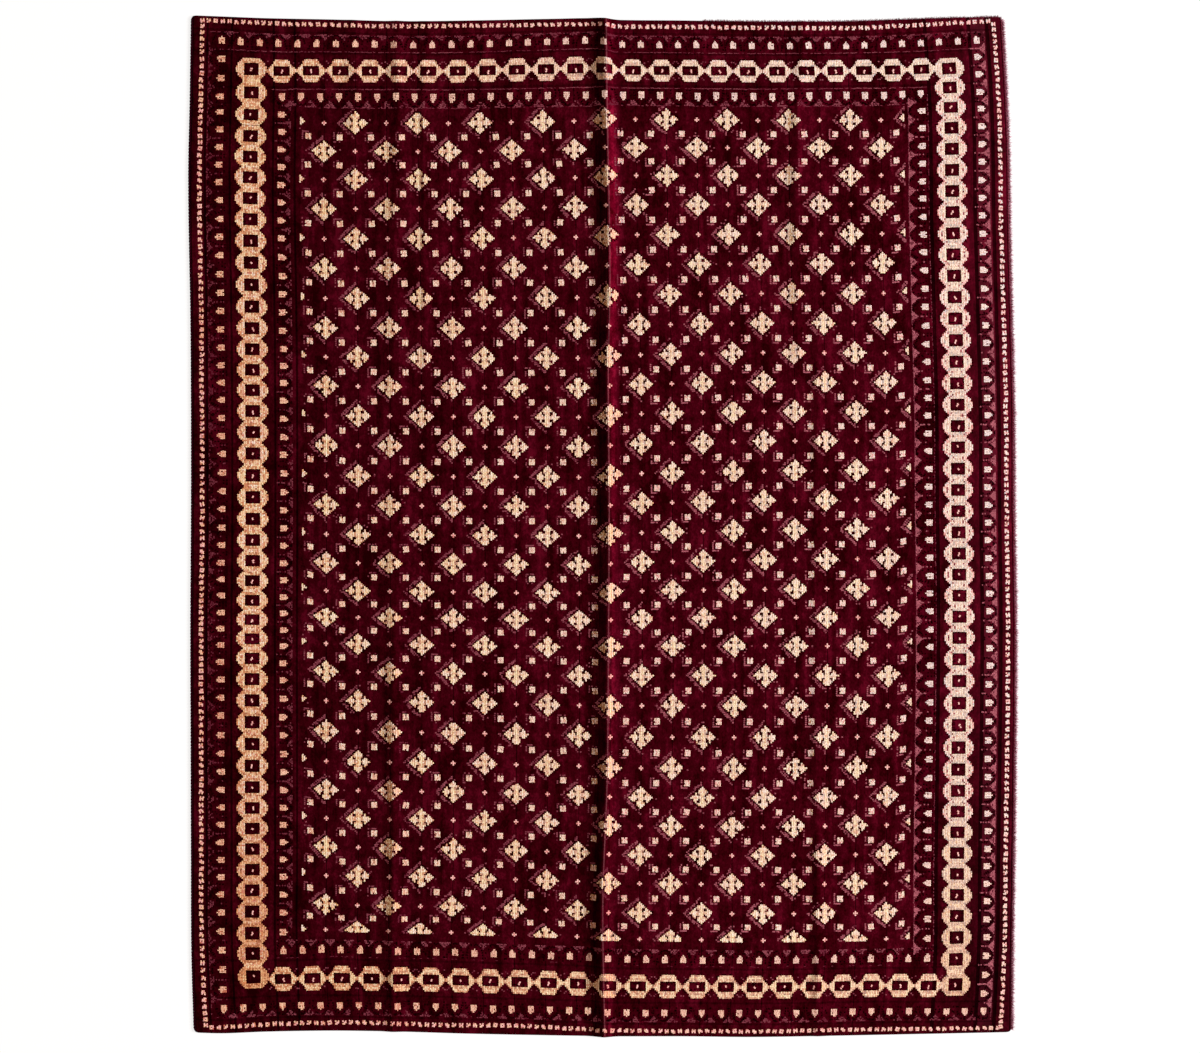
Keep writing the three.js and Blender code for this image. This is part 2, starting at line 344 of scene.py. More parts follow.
class RugYarns(bpy.types.PropertyGroup):
    """Colours of the yarns."""

    ground: colour("Ground", "Burgundy ground", (56, 1, 11))
    ground_deep: colour("Ground, deep", "Burgundy between the tufts", (33, 0, 2))
    ground_worn: colour("Ground, brushed", "Burgundy where the pile is brushed up", (86, 7, 26))
    cream: colour("Field cream", "Light yarn of the field's diamonds", (255, 250, 240))
    cream_deep: colour("Field cream, deep", "Darker strands of it", (228, 178, 150))
    gold: colour("Gold", "Yellower yarn in the diamonds' middles", (255, 248, 214))
    gold_deep: colour("Gold, deep", "Darker strands of it", (234, 188, 140))
    apricot: colour("Chain apricot", "Light yarn of the chain border", (255, 238, 200))
    apricot_deep: colour("Chain apricot, deep", "Darker strands of it", (222, 150, 104))
    rose: colour("Rose", "Light yarn of the guards' tongues", (255, 216, 190))
    rose_deep: colour("Rose, deep", "Darker strands of it", (206, 122, 98))
    pink: colour("Pink", "Pinker yarn of the crosses, dots and pearls", (255, 208, 208))
    pink_deep: colour("Pink, deep", "Darker strands of it", (214, 132, 130))
    fawn: colour("Fawn", "Browner strands in the light shapes", (228, 164, 118))
    fawn_deep: colour("Fawn, deep", "Darker strands of it", (170, 100, 66))
    mauve: colour("Mauve", "Yarn of the thin outlines", (182, 102, 114))
    mauve_deep: colour("Mauve, faded", "Where that yarn is half hidden", (96, 31, 46))
    night: colour("Night", "Near-black yarn round the light shapes", (30, 0, 3))
    night_deep: colour("Night, deep", "Its darkest strands", (10, 0, 0))
    cord: colour("Side cord", "Overcast wool of the sides", (30, 0, 8))
    cord_worn: colour("Side cord, rubbed", "Where the overcast is rubbed", (122, 62, 80))
    fuzz: colour("Edge fuzz", "Loose fibres at the right edge", (236, 214, 220))
    fuzz_deep: colour("Edge fuzz, deep", "The darker ones", (176, 120, 134))


class RugStudio(bpy.types.PropertyGroup):
    """Floor, lamps and camera."""

    floor: colour("Floor", "Plain pale floor", (247, 247, 246))
    floor_size: size("Floor size", "Side of the floor", 60.0, unit="LENGTH")
    ambient: size("Ambient", "Light from all round", 0.22)
    ambient_tint: colour("Ambient tint", "Its colour, warm", (255, 184, 136))
    key_tint: colour("Key tint", "The lamp's colour, a little cool", (250, 254, 255))
    key_power: size("Key power", "Power of the soft lamp at the right", 9500.0)
    key_distance: size("Key distance", "From the rug to the lamp", 24.0, unit="LENGTH")
    key_size: size("Key size", "Side of the lamp", 10.0, unit="LENGTH")
    key_elevation: size("Key elevation", "Over the floor", math.radians(38), subtype="ANGLE")
    camera_height: size("Camera height", "Over the floor", 9.938, unit="LENGTH")
    lens: size("Lens", "Focal length, mm", 100.0)


# ---- finishes


NOISE_MIDDLE = 0.5  # what noise comes to on the whole


def sums(operation):
    """The two ways to write a sum that has a wire in it: with the wire first, and last."""

    def wire_first(wire, other):
        return wire.finish.node("Math", {"operation": operation}, {0: wire, 1: other})

    def wire_last(wire, other):
        return wire.finish.node("Math", {"operation": operation}, {0: other, 1: wire})

    return wire_first, wire_last


class Wire:
    """An output of one of a finish's nodes, so that sums on masks are written as sums."""

    __add__, __radd__ = sums("ADD")
    __sub__, __rsub__ = sums("SUBTRACT")
    __mul__, __rmul__ = sums("MULTIPLY")
    __pow__, __rpow__ = sums("POWER")

    def __init__(self, finish, socket):
        self.finish = finish
        self.socket = socket

    def __abs__(self):
        return self.finish.node("Math", {"operation": "ABSOLUTE"}, {0: self})

    def repeated(self, half_period):
        """How far a value is from the nearest whole number of periods."""
        settings = {"operation": "PINGPONG"}
        return self.finish.node("Math", settings, {0: self, 1: half_period})

    def clamped(self):
        return self.finish.node("Clamp", {}, {"Value": self})

    def swung(self, reach):
        """Noise as an unevenness about nothing, by so much."""
        return (self - NOISE_MIDDLE) * reach

    def between(self, low, high):
        """0 below low, 1 above high and smooth between."""
        settings = {"interpolation_type": "SMOOTHSTEP"}
        return self.finish.node(
            "MapRange", settings, {"Value": self, "From Min": low, "From Max": high}
        )


class Finish:
    """A material, or the world, while it is made. All its nodes come from the node method."""

    def __init__(self, name, kind="materials"):
        self.made = getattr(bpy.data, kind).new(name)
        self.made.use_nodes = True
        self.tree = self.made.node_tree
        self.tree.nodes.clear()

    def node(self, kind, settings, inputs, output=0):
        """Adds a shader node of a kind. A wire that is given to one of its inputs is linked."""
        made = self.tree.nodes.new(f"ShaderNode{kind}")
        for name, value in settings.items():
            setattr(made, name, value)
        for name, value in inputs.items():
            if isinstance(value, Wire):
                self.tree.links.new(value.socket, made.inputs[name])
            else:
                made.inputs[name].default_value = value
        return Wire(self, made.outputs[output]) if made.outputs else None

    def mixed(self, factor, first, second, blend="MIX"):
        """Two colours mixed by a factor."""
        first, second = (
            value if isinstance(value, Wire) else (*value, 1.0) for value in (first, second)
        )
        settings = {"data_type": "RGBA", "blend_type": blend}
        return self.node("Mix", settings, {0: factor, 6: first, 7: second}, 2)

    def shaded(self, colour, amount):
        """A colour times an amount of light."""
        grey = self.node("CombineColor", {}, {0: amount, 1: amount, 2: amount})
        return self.mixed(1.0, colour, grey, "MULTIPLY")

    def parts(self, vector):
        """The three parts of a vector."""
        first = self.node("SeparateXYZ", {}, {0: vector})
        outputs = first.socket.node.outputs
        return [Wire(self, outputs[index]) for index in range(3)]

    def attribute(self, name):
        """A vector that the mesh carries for this finish."""
        return self.node("Attribute", {"attribute_name": name}, {}, 1)

    def noise(self, vector, scale, detail=2.0, roughness=0.5, squeezed=None):
        """Cloudy unevenness, from about 0.3 to 0.7, at a scale in cells to a metre. Squeezed says
        how many of those cells go to a metre across, along and up."""
        if squeezed is not None:
            settings = {"operation": "MULTIPLY"}
            vector = self.node("VectorMath", settings, {0: vector, 1: squeezed})
        inputs = {"Vector": vector, "Scale": scale, "Detail": detail, "Roughness": roughness}
        return self.node("TexNoise", {}, inputs)

    def place(self):
        """The point that is being coloured, in the rug's own frame, in metres."""
        return self.node("TexCoord", {}, {}, 3)

    def bump(self, height, strength, distance):
        inputs = {"Height": height, "Strength": strength, "Distance": distance}
        return self.node("Bump", {}, inputs)

    def wool(self, colour, rough, normal):
        """Ends the finish as matt wool."""
        inputs = {"Base Color": colour, "Roughness": rough, "Normal": normal}
        inputs["Specular IOR Level"] = 0.0
        shader = self.node("BsdfPrincipled", {}, inputs)
        self.node("OutputMaterial", {}, {"Surface": shader})
        return self.made


ROOT_TINT = (0.6, 0.4, 0.26)  # painted shade: what light is left of each colour between light knots, at their roots
DARK_ROOT_TINT = (0.8, 0.8, 0.8)
FUZZ_ROOT_TINT = (0.5, 0.32, 0.37)
ROOT_SHADE_SPAN = (0.36, 0.78)  # up a knot: from where to where its root's painted shade gives way
FIBRES = {"scale": 900.0, "detail": 3.0, "roughness": 0.65, "squeezed": (1.0, 0.25, 1.0)}
STRANDS = {"scale": 260.0, "squeezed": (1.0, 0.3, 1.0)}
DYE_CLOUDS = {"scale": 2.2, "detail": 3.0}
DYE_SWING = 0.5  # how far strands and clouds each take a yarn from light to deep
TINTED = 0.7  # how much of a knot's own tint its yarn takes
SHEEN_AND_BLEACH_ACROSS = (-1.3, 1.35)  # where the light yarns turn paler, in metres: from and to where; painted sheen towards the lamp at the right, with some bleaching
SHEEN_AND_BLEACH_ALONG = (-2.2, -0.45)
SHEEN_AND_BLEACH_EASE = 0.65
FIBRE_SHADE, FIBRE_LIGHT = 0.86, 0.28  # how dark a yarn is between its fibres, and what they add
FIBRE_BUMP = {"strength": 0.35, "distance": 0.0008}
YARN_ROUGHNESS = 0.95


def yarn_finish(name, light, deep, sheen_and_fade=None, root=ROOT_TINT, tints=None):
    """A yarn's finish, with painted shade at its knots' roots, and paler to the right by painted
    sheen with some bleaching. The mesh's "yarn" vector holds each knot's shade, how near the
    knot's ridge a point is, and a second shade for its tint."""
    finish = Finish(name)
    shade, ridge, tint = finish.parts(finish.attribute("yarn"))
    place = finish.place()
    fibres, strands = finish.noise(place, **FIBRES), finish.noise(place, **STRANDS)
    clouds = finish.noise(place, **DYE_CLOUDS)
    mix = (shade + strands.swung(DYE_SWING) + clouds.swung(DYE_SWING)).clamped()
    dyed = finish.mixed(mix, deep, light)
    if tints is not None:
        dyed = finish.mixed(TINTED, dyed, finish.mixed(tint, *tints), "MULTIPLY")
    # Painted sheen, with some bleaching: paler towards the lamp at the right, less so towards the
    # foot
    if sheen_and_fade is not None:
        across, along, _ = finish.parts(place)
        sheen_and_bleach = across.between(*SHEEN_AND_BLEACH_ACROSS) ** SHEEN_AND_BLEACH_EASE
        sheen_and_bleach = sheen_and_bleach * along.between(*SHEEN_AND_BLEACH_ALONG)
        dyed = finish.mixed(sheen_and_bleach, dyed, sheen_and_fade, "SCREEN")
    # Painted shade at each knot's root, giving way up the knot
    out_of_root_shade = ridge.between(*ROOT_SHADE_SPAN)
    dyed = finish.mixed(out_of_root_shade, finish.mixed(1.0, dyed, root, "MULTIPLY"), dyed)
    lit = FIBRE_SHADE + FIBRE_LIGHT * fibres
    normal = finish.bump(fibres, **FIBRE_BUMP)
    return finish.wool(finish.shaded(dyed, lit), YARN_ROUGHNESS, normal)


# Painted light and shade in bands beside the middle crest: from and to how far to its right, and
# how much lighter or darker each is painted.
PAINTED_CREST_BANDS = [(-58, -30, 0.86), (-35, -22, 0.62), (-26, -3, 0.5), (6, 12, 0.8), (22, 48, 0.82)]
PAINTED_CREST_EDGE = 2.5
PAINTED_CREST_HIGHLIGHT = (2.0, 7.0, 9.0, 44.0)  # painted highlight on the lit pile to its right: where it comes up, and dies away
GLOW_BY_FOOT, GLOW_BY_HEAD = 0.45, 2.1  # and how much brighter that is
GLOW_RISES = (-0.2, 1.0)  # along the rug, in metres: from where to where it gets brighter
GLOW_ENDS, GLOW_LOST = (1.2, 1.3), 0.7  # and where it gets dimmer by the head, by how much
GLOW_LEAST, GLOW_CLOUDED = 0.6, 0.8  # how much of it shows, and what the clouds add
CREST_HIGHLIGHT_LINE = (2.6, 2.8)  # a painted highlight along the crest, also standing for its parted pile: how far to its right, half its width
CREST_HIGHLIGHT_LEAST, CREST_HIGHLIGHT_KNOTS = 0.02, 0.34  # how much lighter it is, and what its knots add
BRUSHED_STRIP = (1.119, 1.17)  # across, in metres: the right outer guard's pile is brushed up
BRUSHED_EDGE = 0.006
BRUSHED_LEAST, BRUSHED_TUFTS = 0.05, 0.25
SHEEN_ACROSS, PAINTED_SHEEN = (0.9, 1.2), 0.08  # painted sheen: the ground is a little paler at the right, towards the lamp
# Each groove: how far from its middle it starts to fade and ends, in metres, and how dark it is.
GROOVE_AT_RIGHT = (0.003, 0.0078, 1.25)
GROOVE_AT_LEFT = (0.0015, 0.0048, 1.0)
GROOVE_AT_END = (0.0015, 0.0045, 0.6)
WALE = (0.0006, 0.0026, 1.3)  # so for the thin lengthwise lines of the field
WALES_WITHIN = (0.9, 0.92)  # how far from the middle of the rug they end
GROOVES_MOST = 1.25
GROOVE_DARKNESS = 0.6
PAINTED_GROUND_LIGHT = (0.72, 0.28, 0.36)  # painted light: how light the ground is at the left, and what it gains twice towards the lamp at the right
LIT_ACROSS = ((-1.25, 0.1), (0.92, 1.2))  # and between which places across it gains each
RIGHT_FOOT = ((0.95, 1.13), (-1.45, -0.2), 0.52)  # across, along: where it darkens, how much
KNOT_SPECKLE = {"scale": 190.0, "roughness": 0.6, "squeezed": (1.0, 0.72, 1.0)}
GROUND_TUFTS = {"scale": 62.0, "detail": 3.0, "squeezed": (1.0, 0.7, 1.0)}
LOOM_STREAKS = {"scale": 46.0, "squeezed": (1.0, 0.07, 1.0)}
GROUND_CLOUDS = {"scale": 11.0, "detail": 4.0, "roughness": 0.6, "squeezed": (1.0, 0.7, 1.0)}
SPECKLE_SWING, TUFT_SWING, STREAK_SWING, CLOUD_SWING = 1.3, 1.6, 1.6, 1.8
DEEP_TO_GROUND, GROUND_TO_WORN = (-0.1, 0.6), (0.5, 1.3)  # the shades that turn to each colour
GROUND_RELIEF = (0.7, 0.5, 1.2)  # how far its knots and tufts rise and its grooves sink
GROUND_BUMP = {"strength": 0.55, "distance": 0.002}
GROUND_ROUGHNESS = 0.96


def faded_line(away, near, far, dark):
    """A dark line, by how far away a point is from its middle."""
    return (1 - away.between(near, far)) * dark


def ground_grooves(across, along, streaks):
    """How dark the grooves beside the guards and the field's lengthwise lines are."""
    grooves = [
        faded_line(abs(across - line * MM), *(GROOVE_AT_RIGHT if line > 0 else GROOVE_AT_LEFT))
        for line in GROOVES_ACROSS
    ]
    for line in GROOVES_ALONG:
        grooves.append(faded_line(abs(abs(along) - line * MM), *GROOVE_AT_END))
    near, far, dark = WALE
    wale = 1 - across.repeated(FIELD_COLUMN * MM / 2).between(near, far)
    grooves.append(wale * (1 - abs(across).between(*WALES_WITHIN)) * streaks * dark)
    return sum(grooves[1:], grooves[0]).between(0.0, GROOVES_MOST) * GROOVES_MOST


def ground_light(side, up, from_crest, grooves, clouds):
    """Painted light and shade on the ground: lighter towards the lamp at the right, darker along
    its grooves and at the right of the foot, and painted light and shade beside the middle crest.
    """
    at_left, by_middle, by_right = PAINTED_GROUND_LIGHT
    to_middle, to_right = LIT_ACROSS
    # Painted light, lighter towards the lamp at the right
    painted_light_across = at_left + by_middle * side.between(*to_middle) + by_right * side.between(*to_right)
    foot_across, foot_along, darkened = RIGHT_FOOT
    by_foot = side.between(*foot_across) * (1 - up.between(*foot_along))
    lit = (1 - GROOVE_DARKNESS * grooves) * painted_light_across * (1 - darkened * by_foot)
    edge = PAINTED_CREST_EDGE * MM
    # Painted light and shade in bands beside the middle crest
    for low, high, change in PAINTED_CREST_BANDS:
        inside = from_crest.between(low * MM - edge, low * MM + edge)
        inside = inside * (1 - from_crest.between(high * MM - edge, high * MM + edge))
        lit = lit * (1 + inside * (change - 1))
    # Painted highlight on the lit flank to the right of the middle crest
    start, full, fading, end = (away * MM for away in PAINTED_CREST_HIGHLIGHT)
    painted_highlight = from_crest.between(start, full) * (1 - from_crest.between(fading, end))
    more_by_head = (GLOW_BY_HEAD - GLOW_BY_FOOT) * up.between(*GLOW_RISES)
    painted_highlight = painted_highlight * (1 - GLOW_LOST * up.between(*GLOW_ENDS))
    painted_highlight = painted_highlight * (GLOW_LEAST + GLOW_CLOUDED * clouds)
    return lit * (1 + painted_highlight * (GLOW_BY_FOOT + more_by_head))


def ground_finish(yarns):
    """The burgundy ground: knot-sized speckle, streaks along the loom and darker grooves beside
    the guards. The mesh's "weave" vector holds the place in the weave and its "crest" vector how
    far a point is to the right of the middle crest, in metres."""
    finish = Finish("burgundy_wool_ground")
    weave = finish.attribute("weave")
    from_crest = finish.parts(finish.attribute("crest"))[0]
    across, along, _ = finish.parts(weave)
    place = finish.place()
    side, up, _ = finish.parts(place)
    knots, tufts = finish.noise(weave, **KNOT_SPECKLE), finish.noise(weave, **GROUND_TUFTS)
    streaks = finish.noise(weave, **LOOM_STREAKS)
    clouds = finish.noise(place, **GROUND_CLOUDS)
    shade = knots.swung(SPECKLE_SWING) + tufts.swung(TUFT_SWING) + streaks.swung(STREAK_SWING)
    shade = shade + clouds.swung(CLOUD_SWING) + NOISE_MIDDLE
    dyed = finish.mixed(shade.between(*DEEP_TO_GROUND), yarns.ground_deep, yarns.ground)
    dyed = finish.mixed(shade.between(*GROUND_TO_WORN), dyed, yarns.ground_worn)
    grooves = ground_grooves(across, along, streaks)
    lit = ground_light(side, up, from_crest, grooves, clouds)
    # Painted highlight along the crest, also standing for its parted pile
    line, half_width = CREST_HIGHLIGHT_LINE
    rubbed = 1 - abs(from_crest - line * MM).between(0.0, half_width * MM)
    dyed = finish.mixed(rubbed * (CREST_HIGHLIGHT_LEAST + CREST_HIGHLIGHT_KNOTS * knots), dyed, yarns.mauve)
    low, high = BRUSHED_STRIP
    strip = across.between(low, low + BRUSHED_EDGE)
    strip = strip * (1 - across.between(high - BRUSHED_EDGE, high))
    # Painted sheen at the right, and the brushed-up strip of the right outer guard
    sheen_and_brushed = side.between(*SHEEN_ACROSS) * PAINTED_SHEEN + strip * (BRUSHED_LEAST + BRUSHED_TUFTS * tufts)
    dyed = finish.mixed(sheen_and_brushed, dyed, yarns.mauve_deep)
    knots_rise, tufts_rise, grooves_sink = GROUND_RELIEF
    height = knots * knots_rise + tufts * tufts_rise - grooves * grooves_sink
    normal = finish.bump(height, **GROUND_BUMP)
    return finish.wool(finish.shaded(dyed, lit), GROUND_ROUGHNESS, normal)


LEFT_RUB, RIGHT_RUB = 0.15, 0.9  # how much each cord is rubbed
RUB_BY_TURN, RUB_PATCHES = 0.7, 2.2  # how much of that is on its turns, and in patches
CORD_STRANDS = {"scale": 700.0, "detail": 3.0, "roughness": 0.6, "squeezed": (0.5, 1.0, 1.0)}
CORD_PATCHES = {"scale": 24.0, "detail": 3.0}
CORD_LIT = (0.55, 0.45, 0.35)  # painted shade and light: how light it is between turns, and what turns and strands add
RIGHT_CORD_LIT = ((-1.45, -0.2), 0.45, 0.55)  # along: where it lightens; the least, and more
CORD_BUMP = {"strength": 0.5, "distance": 0.0008}


def cord_finish(yarns, left):
    """The overcast side cords: dark wound wool, rubbed lighter on its turns, with painted shade
    between them.
    """
    finish = Finish("overcast_wool" if left else "overcast_wool_rubbed")
    turn, outer, _ = finish.parts(finish.attribute("yarn"))
    place = finish.place()
    strands, patches = finish.noise(place, **CORD_STRANDS), finish.noise(place, **CORD_PATCHES)
    rubbed = turn * RUB_BY_TURN + patches.swung(RUB_PATCHES) + (strands - NOISE_MIDDLE)
    rubbed = rubbed * outer * (LEFT_RUB if left else RIGHT_RUB)
    base = yarns.cord if left else yarns.ground_worn
    dyed = finish.mixed(rubbed.clamped(), base, yarns.cord_worn)
    # Painted shade between the turns and painted light on them
    between_turns, on_turns, on_strands = CORD_LIT
    lit = between_turns + on_turns * turn + on_strands * (strands - NOISE_MIDDLE)
    if not left:
        along, least, more = RIGHT_CORD_LIT
        lit = lit * (least + more * finish.parts(place)[1].between(*along))
    normal = finish.bump(strands, **CORD_BUMP)
    return finish.wool(finish.shaded(dyed, lit), YARN_ROUGHNESS, normal)


# ---- meshes

WHOLE = 3.2  # side of the square that the planar maps fit in, in metres
TOP_MAP_MIDDLE = (0.4, 0.5)  # where the middle of the ground's top lies in its map
UNDERSIDE_MAP = (0.82, 0.02, 0.055)  # corner and scale of the underside's part of the map
CORD_MAP = (0.1, 0.03, 0.8, 0.94)  # corner, width and height of a cord's sides in its map
CAP_MAPS = ((0.02, 0.01), (0.02, 0.97))  # corners of its foot and head ends in it
CAP_SCALE = 0.02


def placed(name, data):
    """An object of some data, put in the scene."""
    made = bpy.data.objects.new(name, data)
    bpy.context.scene.collection.objects.link(made)
    return made


def mesh_object(name, points, faces, vectors, materials, face_materials=None, maps=None):
    """An object from arrays: points in millimetres, faces as arrays of corners, three or four to
    a face, a vector for each point to each name in vectors, and its flat map."""
    mesh = bpy.data.meshes.new(name)
    corners = np.concatenate([face.ravel() for face in faces]).astype(np.int32)
    counts = np.concatenate([np.full(len(face), face.shape[1]) for face in faces])
    starts = np.concatenate([[0], np.cumsum(counts)[:-1]]).astype(np.int32)
    mesh.vertices.add(len(points))
    mesh.vertices.foreach_set("co", (np.asarray(points) * MM).astype(np.float32).ravel())
    mesh.loops.add(len(corners))
    mesh.loops.foreach_set("vertex_index", corners)
    mesh.polygons.add(len(counts))
    mesh.polygons.foreach_set("loop_start", starts)
    mesh.polygons.foreach_set("use_smooth", np.ones(len(counts), bool))
    for material in materials:
        mesh.materials.append(material)
    if face_materials is not None:
        mesh.polygons.foreach_set("material_index", np.asarray(face_materials, np.int32))
    for title, values in vectors.items():
        attribute = mesh.attributes.new(title, "FLOAT_VECTOR", "POINT")
        attribute.data.foreach_set("vector", np.asarray(values, np.float32).ravel())
    flat = points[:, :2] * MM / WHOLE + 0.5 if maps is None else maps
    layer = mesh.uv_layers.new(name="OFBake")
    spread = flat[corners] if len(flat) == len(points) else flat
    layer.uv.foreach_set("vector", spread.astype(np.float32).ravel())
    mesh.update()
    if mesh.validate():
        raise RuntimeError(f"{name}: its mesh had faults")
    return placed(name, mesh)


def chart(*lines):
    """A motif's chart: each knot's column and row from the middle, and its yarn's letter."""
    rows, columns = len(lines), max(map(len, lines))
    cells = [
        (column - (columns - 1) / 2, (rows - 1) / 2 - row, letter)
        for row, line in enumerate(lines)
        for column, letter in enumerate(line)
        if letter != " "
    ]
    across, along, letters = zip(*cells)
    return np.array(across), np.array(along), np.array(letters)


def outline_of(motif):
    """The empty places that touch a charted motif, as a chart of the dark yarn."""
    across, along, _ = motif
    filled = set(zip(across, along))
    steps = [(right, up) for right in (-1, 0, 1) for up in (-1, 0, 1) if right or up]
    around = {(c + right, r + up) for c, r in filled for right, up in steps} - filled
    columns, rows = zip(*sorted(around))
    return np.array(columns), np.array(rows), np.array(["d"] * len(columns))


CREAM, GOLD, APRICOT, ROSE, PINK, FAWN, MAUVE, NIGHT = range(8)
LOW_YARNS = (MAUVE, NIGHT)  # the yarns of small flat knots
SEEDS = {  # the pieces on the ground, and where the chances of each start
    "cord_left_overcast": 11,
    "cord_right_overcast": 12,
    "field_diamonds": 1,
    "field_outlines": 2,
    "field_sprigs": 3,
    "chain_border": 4,
    "outer_guard": 5,
    "inner_guard": 6,
    "edge_pearls": 7,
    "edge_fuzz": 14,
}
DARK_STRANDS = 0.13  # share of a motif's knots that are tied with darker strands
DARK_STRAND_SHADE = -0.3
LEAST_SHADE = 0.35  # of the other knots; the most is 1
CROWDING = 1.08  # how much wider than its place a knot is, so that neighbours press together
RIDGE_SHARE = 0.36  # half the length of a knot's ridge for its own length
# How far knots differ from each other.
TURN_SPREAD = 0.09
PLACE_SPREAD = (0.25, 0.3)  # across and along, in millimetres
HEIGHT_SPREAD = (0.8, 1.2)
LEAN_SPREAD = 0.55
RIDGE_SPREAD = (0.75, 1.1)
RIDGE_TILT = (0.8, 1.1)  # height of a ridge's far end for its near one
SLOPE_REACH = 4.0  # how far each way the ground's slope is measured at a knot
SLOPE_PAINTS_DARKER, MOST_PAINTED_DARKER = 1.1, 0.6  # painted shade: how much darker a knot's yarn is painted on a slope that faces the lamp, against the light there
SLOPE_PAINTS_SHADE, MOST_PAINTED_SHADE = 1.8, 0.75  # painted shade: how likely a cream knot on a slope facing away from the lamp is painted with its root's shade
PAINTED_SHADE_FROM = 0.12  # the slope where that starts
PAINTED_SHADE_RIDGE = 0.5  # how near its ridge such a knot looks where it is nearest
SLOPE_LEANS, MOST_LEANING = 0.9, 0.36  # how far, in widths, pile leans down a slope facing away
TALL_SIDES, TALL_ENDS = ((0, 4, 5, 3), (1, 2, 5, 4)), ((0, 1, 4), (2, 3, 5))
FLAT_SIDES = ((0, 1, 4), (1, 2, 4), (2, 3, 4), (3, 0, 4))


def from_middle(p, q, u, v, angle):
    """Places u across and v along from a middle, in a frame that is turned by an angle."""
    cos, sin = np.cos(angle), np.sin(angle)
    return p + u * cos - v * sin, q + u * sin + v * cos


def knot_size(pitch, height, wide=1.0, long=1.0):
    """A knot's width, length and height: how wide and long it is for its column and row."""
    return pitch[0] * wide, pitch[1] * long, height


